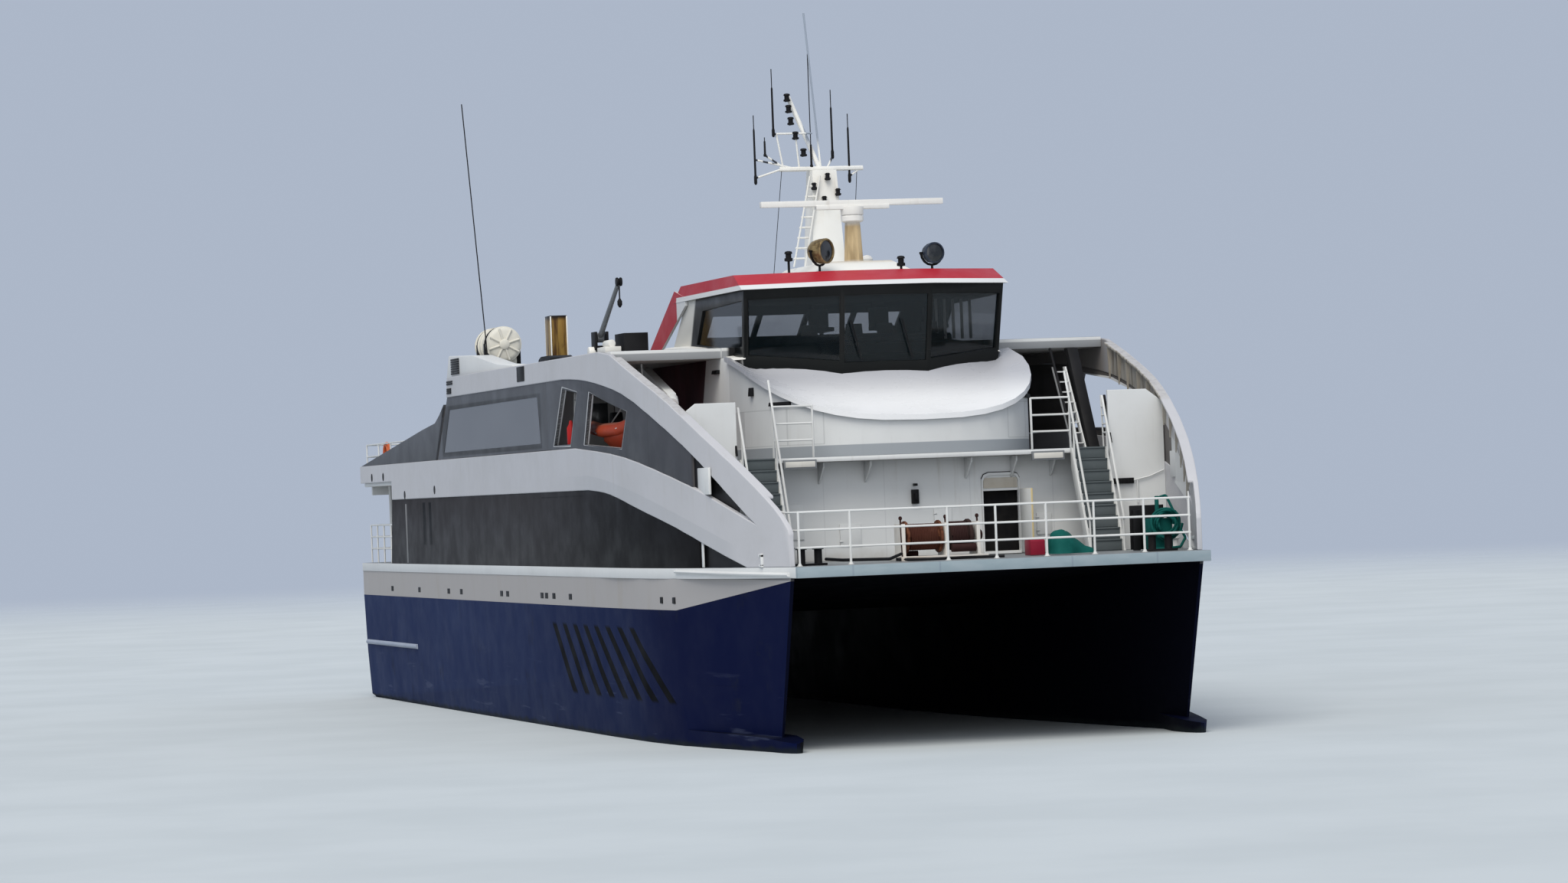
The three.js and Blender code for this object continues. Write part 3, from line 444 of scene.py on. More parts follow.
hull = marine_paint("hull_paint", "hull_blue", (16.5, 28, 84), (26, 41, 106), (9, 11, 22), 0.62, 0.6, 0.5,
                    specular=0.03)
towards_bow = (hull.x + hull.noise(4) * 3 - 1.5).step(-9, 13)
hull.layer(towards_bow * 0.9, (7, 14, 56))
at_stem = (hull.x + hull.noise(2) * 2 - 1).step(11, 17)
hull.layer(at_stem * 0.9, (2, 4.5, 32))
scuffs = hull.noise(1.1, (1, 1, 1.3), detail=8, roughness=0.7).step(0.6, 0.72)
hull.layer(scuffs * 0.55, (12, 15, 30))
scraped = hull.noise(0.5, (6, 6, 0.5), detail=6).step(0.6, 0.68) * hull.z.step(2.2, 0.6)
hull.layer(scraped * 0.3, (100, 120, 190))
fallen = (stroke_top - hull.z) / stroke_tall
along = (hull.x - stroke_first - fallen * stroke_lean) / (fallen * stroke_spread + stroke_step)
beside_stroke = abs(along - hull.maths("ROUND", along)) * stroke_step
in_row = along.between(-0.5, stroke_count - 0.5) * fallen.between(-0.02, 1.0, 0.03)
hull.layer(beside_stroke.step(0.25, 0.22) * in_row, (0.6, 0.8, 2))
past_start = hull.maths("MAXIMUM", hull.x - belt_start, 0.0)
belt = past_start * ((belt_high - belt_low) / (stem_top - belt_start)) + belt_low
white_run = hull.noise(0.4, (1.6, 1, 5), detail=5).step(0.5, 0.85)
belt_white = hull.mix(white_run * 0.3, (390, 375, 370), white_grime)
# Painted shadow: a dark line on the white belt under the bow strake.
strake_shadow = (hull.z + (hull.x - belt_start) * 0.0162).between(3.83, 3.905, 0.01) * hull.x.step(16.8, 16.9)
belt_white = hull.mix(strake_shadow * 0.6, belt_white, (70, 75, 85))
hull.layer((hull.z - belt).step(-0.004, 0.004), belt_white)
# Painted shade: faces that look into the tunnel are painted near black.
hull.layer(hull.inboard(0.25, -0.1), tunnel_shade)
growth = (hull.z + hull.noise(0.5) * 0.25).step(0.3, 0.16)
hull.layer(growth * 0.8, (12, 16, 18))
hull.layer(hull.z.step(0.02, -0.02), (28, 30, 50))
scupper_places = (-17.66, -13.37, -8.96, -7.15, -1.64, -0.86, 3.47, 4.01, 4.9, 6.83, 15.67, 16.6)
scupper_z = 3.3
scupper_half = (0.19, 0.075)
ledge_z = 1.67
lip_z = 3.02
black = marine_paint("black_paint", "black_paint", (8, 8, 9), (20, 20, 22), (30, 26, 22), 0.5)
ledge = marine_paint("ledge_paint", "white_paint", (300, 340, 420), (420, 450, 500), (100, 100, 100), 0.5)
for name, side in both_sides:
    hull_skin = skin_of("hull_" + name)
    refined("hull_" + name, hull, 0.0, 38)
    # Painted shade: black blocks stand for the dark of the scupper openings.
    scuppers = Shape()
    for x in scupper_places:
        y = beside(x, side, scupper_z, hull_skin)
        scuppers.block((x - scupper_half[0], y + side * 0.004, scupper_z - scupper_half[1]),
                       (x + scupper_half[0], y - side * 0.06, scupper_z + scupper_half[1]))
    scuppers.made("scuppers_" + name, black, 0.01)
    y = beside(-20, side, ledge_z, hull_skin)
    Shape().tube((-22.33, y, ledge_z), (-14.18, y, ledge_z), 0.07, 12).made("fender_ledge_" + name, ledge)
    # Painted shade: this black lip along the belt line stands for the shadow line at the belt's lower edge.
    Shape().tube((-22.4, y, lip_z), (10.0, y, lip_z), 0.035, 12).made("belt_shadow_lip_" + name, black)


# Floor and light: a plain pale floor at the waterline that fades into the backdrop, an even
# overcast sky, one broad soft lamp from high over the starboard bow and a weak glow off the shore.
floor_half = 150
floor_mesh = bpy.data.meshes.new("floor")
floor_mesh.from_pydata(
    [(-floor_half, -floor_half, 0), (floor_half, -floor_half, 0),
     (floor_half, floor_half, 0), (-floor_half, floor_half, 0)], [], [(0, 1, 2, 3)])
floor = placed("floor", floor_mesh)
pale = Finish("floor_pale", None, (500, 540, 560), 0.9)
reach = pale.node("ShaderNodeVectorMath", {"operation": "LENGTH"}, {0: pale.place}, output=1)
pale.layer(pale.noise(6).step(0.3, 0.7), (540, 580, 600))
pale.wear(reach.step(260, 110), "Alpha")
floor_mesh.materials.append(pale.material)
sky = bpy.data.worlds.new("overcast")
sky.use_nodes = True
sky.node_tree.nodes["Background"].inputs["Color"].default_value = (0.63, 0.72, 0.88, 1)
sky.node_tree.nodes["Background"].inputs["Strength"].default_value = 0.66
scene.world = sky
for name, energy, light, spread, aim in (
        ("broad_lamp", 2.3, (1.0, 0.95, 0.86), 40, (-0.6, 0.35, -1)),
        ("shore_glow", 1.0, (1.0, 0.98, 0.95), 70, (-1, 0.3, -0.12))):
    lamp = placed(name, bpy.data.lights.new(name, "SUN"))
    lamp.data.energy = energy
    lamp.data.color = light
    lamp.data.angle = math.radians(spread)
    lamp.rotation_euler = Vector(aim).to_track_quat("-Z", "Y").to_euler()


# Bridging structure and main deck: plating between the hulls painted near black as painted shade
# of the tunnel, the white deck edge with its light bow fascia, and non-slip paint on the deck
# itself, with painted shade under the deck's overhangs and inside the wheelhouse. A half-round
# strake finishes the sheer, and framed fairleads stand at the deck's corners.
bridge = marine_paint("tunnel_paint", "tunnel_dark", tunnel_shade, (6, 7, 12), (2, 2, 3), 0.6)
refined("bridge_structure", bridge, 0.012)


def white_plate(name, roughness=0.45, patches=0.5, streaks=0.3):
    """The superstructure's white."""
    return marine_paint(name, "white_paint", superstructure_white, white_faded, white_grime, roughness,
                        patches, streaks)


white = white_plate("white_paint", 0.42, 0.45)
bow_face_x = 22.9
house_reach = (4.0, 13.2)
deck_grey = (200, 215, 225)

deck = white_plate("deck_paint")
trodden = deck.mix(deck.noise(1.1).step(0.4, 0.7) * 0.5, deck_grey, (300, 310, 310))
trodden = deck.mix(deck.noise(0.3, detail=8).step(0.55, 0.75) * 0.5, trodden, (100, 100, 100))
fascia = deck.mix(deck.noise(0.7, (1, 1, 0.3)).step(0.35, 0.75) * 0.5, (250, 310, 340), (330, 380, 410))
weld = deck.joints(deck.maths("MODULO", abs(deck.y), 1.95), (1.5,), 0.02)
fascia = deck.mix(weld * 0.35, fascia, (160, 190, 240))
canopy_front = deck.normal(0).step(0.4, 0.8) * deck.z.step(8.7, 8.75)
deck.layer(canopy_front * deck.z.step(9.06, 9.03), (290, 300, 310))
deck.layer(deck.x.step(bow_face_x, bow_face_x + 0.01), fascia)
deck.layer(deck.normal(2).step(0.6, 0.9), trodden)
# Painted shade: the roof deck inside the wheelhouse is painted near black.
house_floor_shade = abs(deck.y).step(3.3, 3.2) * deck.x.between(*house_reach) * deck.z.step(8.7, 8.75)
deck.layer(house_floor_shade, (12, 12, 13))
# Painted shade: faces that look down are painted darker.
deck.layer(deck.normal(2).step(-0.6, -0.9) * 0.8, (280, 255, 235))
refined("main_deck", deck, 0.02)
refined("upper_deck", deck, 0.03)
refined("roof_deck", deck, 0.02)

strake_from = 16.9
strake_to = 22.44
strake_steps = 8
strake_section = ((-0.03, 0.05), (0.05, 0.035), (0.07, 0), (0.05, -0.035), (-0.03, -0.05))
for name, side in both_sides:
    rings = []
    for i in range(strake_steps + 1):
        x = strake_from + (strake_to - strake_from) * i / strake_steps
        z = 3.955 - 0.09 * i / strake_steps
        rings.append([(x, beside(x, side) + side * out, z + up) for out, up in strake_section])
    Shape().skin(rings).made("sheer_strake_" + name, white, angle=50)
    fairleads = Shape()
    y = beside(21.2, side)
    for x0, x1, z0, z1 in ((21.05, 21.13, 4.06, 4.32), (21.33, 21.41, 4.06, 4.32),
                           (21.05, 21.41, 4.25, 4.33), (21.05, 21.41, 4.035, 4.1)):
        fairleads.block((x0, y, z0), (x1, y - side * 0.16, z1))
    for x in (19.13, 18.75):
        y = beside(x, side) - side * 0.32
        fairleads.turned((x, y, 4.035), (x, y, 4.3), (
            (0, 0.1), (0.15, 0.1), (0.2, 0.07), (0.8, 0.07), (0.85, 0.11), (1, 0.11)))
    fairleads.made("fairleads_" + name, white, 0.012)


# Side frames: the white lower band and the arch that sweeps from the roof to the bow, box
# sections of welded plate with fair faces. Ribs stand between the arch's flange and its inner
# plating, plates in the fork are black outside as painted shade and white inboard, and a box
# for life jackets hangs under it.
rib_length = 0.75
rib_depth = 0.11
arch = marine_paint("arch_paint", "white_paint", (500, 500, 520), (440, 440, 450), white_grime, 0.42, 0.5,
                    0.38)
inboard = arch.inboard()
shaded = inboard * arch.x.step(12.6, 11.6) * arch.z.step(7.9, 8.3)
past_knee = arch.maths("MAXIMUM", arch.x - 9.35, 0.0)
crease = 6.23 - past_knee * 0.0511 - past_knee * past_knee * 0.0099
# Painted shade: the band's lower facet, below the crease, is painted greyer.
lower_facet_shade = (arch.z - crease).step(0.01, -0.01) * arch.x.step(5.5, 10) * arch.x.step(20.4, 19.6)
arch.layer(lower_facet_shade * 0.45, (400, 410, 430))
arch.layer(shaded * 0.9, (200, 180, 165))
past_corner = arch.maths("MAXIMUM", arch.x - 12.6, 0.0)
rim = 8.9 - past_corner * 0.2 - past_corner * past_corner * 0.0213
in_ribs = (arch.z - rim + rib_length).step(-0.02, 0.02) * inboard * arch.x.step(17.6, 17.3)
stains = arch.noise(0.13, (1, 1, 9), detail=6).step(0.42, 0.66)
rib_plate = arch.mix(stains * 0.75, (420, 400, 360), (130, 105, 80))
arch.layer(in_ribs * arch.x.step(12.2, 12.4), rib_plate)
rim_curve = ((12.6, 8.9), (13.4, 8.72), (14.1, 8.5), (15.0, 8.26), (15.9, 8.0), (16.7, 7.75), (17.5, 7.48),
             (18.3, 7.17), (19.1, 6.81), (19.8, 6.45), (20.4, 6.12), (21.0, 5.77), (21.5, 5.44))
stained = marine_paint("rib_paint", "white_paint", (500, 470, 410), (400, 350, 280), (120, 85, 55), 0.5,
                       0.9, 0.9)
# Painted shade: the fork's plates are black outside and white inboard, standing for the shade seen through
# its openings.
shade_backing_paint = marine_paint("fork_backing_paint", "black_paint", (8, 8, 9), (20, 20, 22), (30, 26, 22))
shade_backing_paint.layer(shade_backing_paint.inboard(), superstructure_white)
for name, side in both_sides:
    refined("side_frame_" + name, arch, 0.02, 20)
    refined("wing_wall_" + name, white, 0.008, 20)
    ribs = Shape()
    for (x0, z0), (x1, z1) in zip(rim_curve, rim_curve[1:]):
        along = Vector((x1 - x0, 0, z1 - z0)).normalized()
        inward = Vector((along.z, 0, -along.x))
        head = Vector((x0, beside(x0, side) - side * 0.118, z0 - 0.09))
        foot = head + inward * rib_length * (1 if x0 < 17.4 else 0.75)
        across = along * 0.016
        outer = [head - across, head + across, foot + across, foot - across]
        inner = [p - Vector((0, side * rib_depth * deep, 0)) for p, deep in zip(outer, (1, 1, 0.2, 0.2))]
        ribs.skin([outer, inner])
    ribs.made("arch_ribs_" + name, stained)
    backing = Shape()
    for outline in (((17.4, 4.04), (20.62, 4.04), (17.4, 4.78)),
                    ((17.9, 5.6), (20.2, 5.1), (20.35, 5.45), (17.9, 6.75))):
        start, end = outline[0][0], max(outline)[0]
        backing.skin([[(x, beside(start if x == start else end, side) - side * push, z) for x, z in outline]
                      for push in (0.085, 0.105)])
    backing.made("fork_backing_" + name, shade_backing_paint)
    post_y = beside(18.4, side) - side * 0.04
    box_y = beside(18.6, side) - side * 0.03
    fork = Shape().block((18.34, post_y, 4.04), (18.46, post_y - side * 0.04, 4.62))
    fork.block((18.0, box_y, 5.66), (19.15, box_y - side * 0.06, 6.26))
    fork.made("fork_post_" + name, white, 0.012)


# Main deck sides: one long band of charcoal panels over the saloon's windows, in smooth glossy
# paint with fine joints, two narrow slots and a light pillar at the after end.
dark = marine_paint("charcoal_panel", "dark_panel", (30, 28, 30), (34, 32, 34), (25, 23, 24), 0.5, 0.4,
                    0.15, 0.001, 0.04)
panel_joints = dark.joints(dark.x, (-16.66, -13.1, -8.4, -3.7, 1.0, 5.7, 10.4, 14.6), 0.015)
dark.layer(dark.x.step(0, 14) * 0.9, (5, 4.8, 5.6))
dark.layer(panel_joints * 0.6, (6, 6, 7))
dark.layer(dark.x.between(-15.12, -14.9) * dark.z.between(4.06, 5.74), (200, 200, 200))
slots = dark.x.between(-12.42, -12.0) + dark.x.between(-11.5, -11.1)
dark.layer(slots * dark.z.between(4.58, 5.76), (4, 4, 5))
dark.layer(dark.x.between(3.8, 8.8) * dark.joints(dark.z, (5.75,), 0.012), (10, 10, 11))

# Upper sides: mid grey panels with one long window on each side, set in a thin black edge, and
# aft of them low screens that fall to the stern. The side openings have light bevelled edges.
grey = marine_paint("grey_panel", "grey_panel", (85, 90, 102), (95, 100, 112), (65, 67, 73), 0.5, 0.4, 0.15,
                    0.001)
at_window = grey.x.between(-9.05, 4.15, 0.03) * grey.z.between(6.98, 8.36, 0.02)
grey.layer(grey.x.step(4, 13) * 0.7, (45, 46, 55))
grey.layer(grey.joints(grey.x, (-14.2, 9.0, 15.2)) * 0.6, (20, 20, 22))
grey.layer(at_window * 0.55, (16, 17, 18))
grey.layer(grey.inboard(), (130, 120, 115))
pane = Finish("side_glass", "window_glass", (75, 80, 92), 0.24, specular=0.25)
pane.layer(pane.noise(3.0, (2, 1, 0.6)).step(0.3, 0.75), (95, 100, 112))
mullions = pane.joints(pane.x, (-7.3, -5.2, -3.1, -1.0, 1.1, 3.0), 0.014)
pane.layer(mullions * 0.5, (30, 33, 36))
pane.bump(pane.noise(1.6, detail=1), 0.004, 0.5)
openings = {
    "starboard": (((5.6, 7.02), (7.5, 7.02), (8.4, 8.25), (6.8, 8.38)),
                  ((9.1, 6.98), (12.9, 6.82), (13.5, 7.66), (9.84, 8.2))),
    "port": (((9.1, 6.98), (13.1, 6.9), (14.4, 7.72), (12.4, 8.08), (10.2, 8.28)),),
}
reveal_wide = 0.07
edge_white = marine_paint("edge_paint", "white_paint", (500, 510, 520), (400, 410, 420), (200, 170, 130))
for name, side in both_sides:
    refined("main_deck_wall_" + name, dark, 0.004)
    for node in ("upper_wall_", "gallery_wall_", "aft_screen_"):
        refined(node + name, grey, 0.004)
    refined("lounge_window_" + name, pane, 0.0)
    reveals = Shape()
    for outline in openings[name]:
        middle = sum((Vector(corner) for corner in outline), Vector((0, 0))) / len(outline)
        for pair in zip(outline, outline[1:] + outline[:1]):
            lips = []
            for x, z in pair:
                wide_x, wide_z = Vector((x, z)) + (Vector((x, z)) - middle).normalized() * reveal_wide
                y, wide_y = beside(x, side), beside(wide_x, side)
                lips.append([(x, y - side * 0.03, z), (wide_x, wide_y - side * 0.012, wide_z),
                             (wide_x, wide_y - side * 0.1, wide_z), (x, y - side * 0.13, z)])
            reveals.skin(lips)
    reveals.made("opening_edges_" + name, edge_white)

# Inside the narrow starboard opening stands a white gate like a short ladder, with red
# extinguishers behind it.
gate_y = -5.75
gate = Shape()
for x in (6.0, 6.75, 7.5):
    gate.tube((x, gate_y, 6.43), (x + 0.25, gate_y, 8.3), 0.03)
for z in (6.95, 7.25, 7.55, 7.85, 8.1):
    lean = (z - 6.43) * 0.13
    gate.tube((6.0 + lean, gate_y, z), (7.5 + lean, gate_y, z), 0.022)
gate.made("side_gate", white, slot="rail_steel")
red_plain = marine_paint("signal_red", "red_paint", (420, 20, 20), (500, 60, 50), (100, 20, 20), 0.35)
bottle = Shape()
for x in (6.35, 7.15):
    bottle.turned((x, -5.9, 6.9), (x, -5.9, 7.62), (
        (0, 0.085), (0.05, 0.105), (0.75, 0.105), (0.88, 0.05), (0.93, 0.05), (1, 0.03)), 14)
bottle.made("extinguishers", red_plain, angle=40)


# Main deck front wall: welded white plate with a rounded doorway, its door open against the
# wall, a wall lamp, flush lockers and flanged brackets that carry the saloon's overhang.
wall = white_plate("front_wall_paint", 0.42, 0.4, 0.35)
wall.layer(wall.joints(wall.y, (-5.05, -3.9, -2.2, -0.75, 1.3, 3.3)) * 0.25, (400, 400, 410))
foot_dirt = (wall.z + wall.noise(0.4) * 0.4).step(4.55, 4.2)
wall.layer(foot_dirt * 0.4, (330, 290, 240))
wall.layer(wall.normal(0).step(-0.5, -0.8), (300, 300, 310))
refined("main_deck_front_wall", wall)
refined("main_deck_aft_wall", white)
wall_x = 16.205
doorway = ((1.6, 4.1), (2.46, 4.1), (2.46, 5.72), (2.41, 5.82), (2.3, 5.86), (1.76, 5.86), (1.65, 5.82),
           (1.6, 5.72))
doorway_centre = Vector((2.03, 4.9))


def doorway_bars(corners, section):
    """Bars from corner to corner; their section is set by depth and distance out of the doorway."""
    bars = Shape()
    for pair in zip(corners, corners[1:]):
        rings = []
        for y, z in pair:
            out = (Vector((y, z)) - doorway_centre).normalized()
            rings.append([(x, y + out.x * far, z + out.y * far) for x, far in section])
        bars.skin(rings)
    return bars


frame_section = ((wall_x, 0), (wall_x, 0.06), (16.25, 0.06), (16.25, 0))
seal_section = ((wall_x, 0.06), (wall_x, 0.08), (16.23, 0.08), (16.23, 0.06))
doorway_bars(doorway + doorway[:1], frame_section).made("doorway_frame", white)
Shape().block((16.203, 1.62, 5.56), (16.22, 2.44, 5.8)).made("doorway_head", stained, 0.01)
doorway_bars(doorway[2:], seal_section).made("doorway_seal", black)
shade = Finish("dark_inside", "black_paint", (8, 8, 9), 0.8, specular=0.05)
shade.layer(shade.noise(0.5).step(0.3, 0.7), (16, 15, 14))
# A curtain hangs behind the doorway, kept near black as painted shade of the dark inside.
behind = Shape().block((15.94, 1.45, 4.04), (15.97, 2.6, 5.6))
for y in (1.45, 2.57):
    behind.block((15.97, y, 4.04), (16.09, y + 0.03, 5.6))
behind.made("doorway_curtain", shade)
ochre = marine_paint("door_paint", "cream_paint", (500, 400, 200), (550, 460, 270), (200, 130, 60))
ochre.layer(abs(ochre.normal(1)).step(0.5, 0.9), (660, 670, 660))
refined("front_door", ochre)
lamp = Shape().block((wall_x, -0.12, 5.27), (16.33, 0.04, 5.6))
lamp.block((wall_x, -0.07, 5.68), (16.42, -0.01, 5.74))
lamp.tube((16.36, -0.04, 5.36), (16.36, -0.04, 5.52), 0.05).made("wall_lamp", black, 0.012)
brackets = Shape()
for name, side in both_sides:
    for y, reach in ((1.2, 0.55), (2.3, 0.5), (3.25, 0.45)):
        outline = ((wall_x, 6.29), (wall_x + reach, 6.29), (wall_x + reach, 6.2), (16.32, 5.86),
                   (wall_x, 5.8))
        brackets.prism(outline, "y", side * y - 0.02, side * y + 0.02)
brackets.made("soffit_brackets", white, 0.006)
lockers = Shape()
for y, z, wide, tall in ((-3.0, 4.95, 0.6, 0.8), (-1.6, 4.62, 0.5, 0.5), (0.62, 4.85, 0.42, 0.6),
                         (3.05, 4.7, 0.36, 0.5)):
    lockers.block((wall_x, y - wide / 2, z - tall / 2), (16.235, y + wide / 2, z + tall / 2))
    for at in (z - 0.3 * tall, z + 0.3 * tall):
        lockers.tube((16.245, y - wide / 2 - 0.02, at), (16.245, y - wide / 2 + 0.06, at), 0.018)
lockers.made("wall_lockers", white, 0.012)


# Upper saloon: its rounded front stands out over the foredeck like a bulge, under a visor that
# slopes down from the wheelhouse's windows. White plate, fair and glossy on the visor, with
# flush lockers, deck lamps and the lamp boxes at the platforms' front edge.
saloon = white_plate("saloon_paint", 0.4, 0.4)
locker_lines = saloon.joints(abs(saloon.y), (2.2, 2.86, 3.38), 0.014) * saloon.z.between(6.72, 7.55)
locker_ends = saloon.joints(saloon.z, (6.72, 7.55), 0.014) * abs(saloon.y).between(2.2, 3.38)
saloon.layer((locker_lines + locker_ends) * 0.3, (300, 310, 310))
# Painted shade: a grey band along the foot of the saloon's front stands for the shade on its flared foot.
foot_flare_shade = saloon.z.step(6.69, 6.67)
saloon.layer(foot_flare_shade * 0.85, (260, 285, 310))
refined("front_saloon_wall", saloon, 0.0, 40)
visor = marine_paint("visor_paint", "white_paint", (780, 785, 790), (760, 765, 770), (660, 660, 660), 0.3,
                     0.1, 0.08, 0.001)
# Painted shade: the visor is painted greyer towards the windows, where its steep part lies in shade.
shade_below_glass = (visor.z + visor.noise(2) * 0.1).step(7.6, 8.45)
visor.layer(shade_below_glass * 0.8, (340, 350, 390))
refined("visor", visor, 0.0)
galvanised = marine_paint("galvanised", "rail_steel", (160, 170, 180), (240, 250, 260), (120, 90, 60))
lamp_glass = marine_paint("lamp_front", "white_paint", (620, 600, 550), (500, 490, 460), (200, 180, 150),
                          0.25)
boxes = Shape()
lenses = Shape()
for name, side in both_sides:
    boxes.block((16.98, side * 2.56, 6.16), (17.07, side * 3.34, 6.37))
    lenses.block((17.05, side * 2.6, 6.2), (17.085, side * 3.3, 6.33))
boxes.made("platform_lamp_boxes", galvanised, 0.01)
lenses.made("platform_lamp_lenses", lamp_glass, 0.01)
saloon_skin = skin_of("front_saloon_wall")
lamps = Shape()
for x, z, long, tall in ((11.4, 8.56, 0.5, 0.09), (14.31, 8.0, 0.16, 0.2), (15.5, 7.68, 0.62, 0.09)):
    for name, side in both_sides:
        rings = []
        for u in (x - long / 2, x + long / 2):
            y = beside(u, side, 7.2, saloon_skin) if u > 12.5 else side * 3.4
            rings.append([(u, y + side * out, z + up) for out, up in (
                (-0.02, -tall / 2), (0.09, -tall / 2), (0.07, tall / 2), (-0.02, tall / 2))])
        lamps.skin(rings)
lamps.made("saloon_lamps", black, 0.008)


# Side passages: painted plate walls with the lounge's doors in them, dark maroon under the
# starboard canopy, pale forward where the daylight has kept the white clean. An upper ladder
# with a black pipe guard leans in the port passage, and the boat's davit arm in the starboard one.
passage = white_plate("passage_paint", 0.45, 0.4)
maroon = passage.mix(passage.noise(0.6, (1, 1, 3)).step(0.35, 0.7), (50, 22, 26), (85, 32, 38))
under_canopy = (passage.x - passage.z * 0.45 - 6.36).step(0.04, -0.04)
to_starboard = passage.y.step(0.01, -0.01)
passage.layer(under_canopy * to_starboard, maroon)
passage.layer(1 - to_starboard, (620, 620, 640))
passage.layer(abs(passage.normal(0)).step(0.4, 0.7), (500, 500, 510))
leaf = marine_paint("lounge_door_paint", "white_paint", (360, 355, 350), (300, 290, 280), (120, 100, 90), 0.4)
door_pane = Finish("door_glass", "window_glass", (20, 22, 24), 0.15, specular=0.4)
# Painted reflection: the door glass gets lighter towards its top.
door_pane.layer(door_pane.z.step(7.2, 8.2), (50, 55, 60))
for name, side in both_sides:
    door = "lounge_door_" + name
    refined("passage_wall_" + name, passage, 0.008)
    refined(door, leaf)
    glazing = Shape().block((4.62, side * 4.58, 7.35), (4.69, side * 5.02, 8.05))
    glazing.made("lounge_door_glass_" + name, door_pane, 0.01, body=door)
    handle = Shape()
    for x in (4.67, 4.58):
        handle.block((x, side * 4.46, 7.1), (x + 0.05, side * 4.49, 7.5))
    handle.made("lounge_door_handle_" + name, black, 0.006, slot="rail_steel", body=door)

rung_count = 8
ladder = Shape()
for y in (4.76, 5.04):
    ladder.beam(((13.38, y, 6.43), (12.03, y, 8.41)), (0.09, 0.02, 0))
for i in range(rung_count):
    share = (i + 0.5) / rung_count
    x, z = 13.38 - 1.35 * share, 6.43 + 1.98 * share
    ladder.block((x - 0.1, 4.76, z - 0.015), (x + 0.1, 5.04, z + 0.015))
ladder.made("upper_ladder", white, 0.006)
guard = Shape().beam(((13.5, 5.2, 6.43), (11.8, 5.29, 8.86)), (0.14, 0.13, 0))
guard.tube((13.62, 4.7, 6.5), (12.0, 4.7, 8.86), 0.035).made("ladder_guard", black, 0.01)
davit = Shape().beam(((8.1, -4.35, 8.68), (12.1, -4.7, 7.95)), (0, 0.11, 0.13))
davit.tube((12.0, -4.68, 7.95), (12.35, -4.75, 7.82), 0.15, 14).made("davit_arm", white, 0.02)
pipes = Shape()
for drop, out in ((0.24, 0.0), (0.34, 0.12)):
    pipes.tube((8.1, -4.5 - out, 8.68 - drop), (12.0, -4.86 - out, 7.95 - drop), 0.035)
pipes.made("davit_pipes", black)


# Roof deck: white coamings that sweep from the canopies up round the wheelhouse, low housings
# along both sides with their louvres, a life raft in its drum, square golden-brown exhausts,
# and the boat crane's foot with its power box.
roof_z = 9.125
roof_white = marine_paint("roof_paint", "cream_paint", (790, 780, 740), (700, 680, 620), white_grime, 0.45,
                          0.4, 0.4)
coaming_line = ((3.2, 9.13), (6.0, 9.33), (7.6, 9.3), (9.2, 9.2), (10.8, 9.04), (12.2, 8.87), (13.0, 8.78))
for name, side in both_sides:
    rings = []
    for x, z in coaming_line:
        out = 0.28 if x < 12 else 0.28 - (x - 12) * 0.25
        y = side * (3.08 + 0.08 * (z - 8.3) / 2.1)
        base = 9.0 if x < 11.85 else 8.8
        top = max(z, base + 0.02)
        rings.append([(x, y, base), (x, y + side * (out + 0.04), base),
                      (x, y + side * out * 0.8, top), (x, y, top + 0.02)])
    Shape().skin(rings).made("house_coaming_" + name, roof_white, 0.01, 40)
    refined("roof_housing_" + name, white, 0.03)
    louvres = Shape()
    for x0, x1, z0, z1, y, rows in ((-8.0, -6.9, 9.2, 9.64, 6.06, 7), (-8.0, -7.2, 8.92, 9.04, 6.2, 2),
                                    (-8.0, -7.4, 8.68, 8.84, 6.2, 3)):
        for i in range(rows):
            z = z0 + (z1 - z0) * (i + 0.5) / rows
            louvres.block((x0, side * y, z - 0.024), (x1, side * (y + 0.02), z + 0.024))
    louvres.block((1.5, side * 6.2, 8.72), (2.4, side * 6.212, 9.1))
    for x, z in ((-20.3, 6.56), (-18.4, 6.56), (-15.0, 6.0), (-10.4, 6.1)):
        y = beside(x, side)
        louvres.tube((x, y - side * 0.05, z), (x, y + side * 0.008, z), 0.12, 16)
    louvres.made("vents_" + name, black, 0.004)
    lid = ((2.7, roof_z), (4.3, roof_z), (4.2, 9.24), (3.95, 9.3), (3.05, 9.3), (2.8, 9.24))
    Shape().prism(lid, "y", side * 5.3, side * 5.9).made("roof_lid_" + name, black, 0.015)
    brass = Finish("exhaust_brass_" + name, "brass_metal", (420, 260, 70), 0.34, 0.75, specular=0.4)
    heat = brass.noise(0.14, (1, 1, 12), detail=4).step(0.42, 0.62)
    brass.layer(heat, (90, 45, 18))
    sooty = brass.z.step(10.25, 10.38) + brass.noise(0.2).step(0.62, 0.75) * 0.5
    brass.layer(sooty, (20, 16, 14))
    brass.wear(heat * 0.25 + 0.3, "Roughness")
    refined("exhaust_box_" + name, brass)
    collar = Shape().block((0.56, side * 4.72, roof_z), (1.44, side * 5.33, 9.2))
    low, high = sorted((side * 4.8, side * 5.25))
    for x in (0.67, 1.305):
        for y in (low, high - 0.03):
            collar.block((x, y, 9.2), (x + 0.03, y + 0.03, 10.38))
    collar.made("exhaust_collar_" + name, roof_white, 0.006)
drum = marine_paint("raft_drum_paint", "white_paint", (660, 640, 570), (600, 570, 480), (300, 250, 170),
                    0.5, 0.7, 0.6)
bands = abs(drum.maths("FRACT", drum.x * 0.62 + drum.z * 0.45) - 0.5)
drum.layer(bands.step(0.06, 0.02) * 0.55, (300, 260, 180))
refined("raft_canister", drum, 0.0, 40)
raft = Shape()
raft_axis = (-4.98, 9.94)
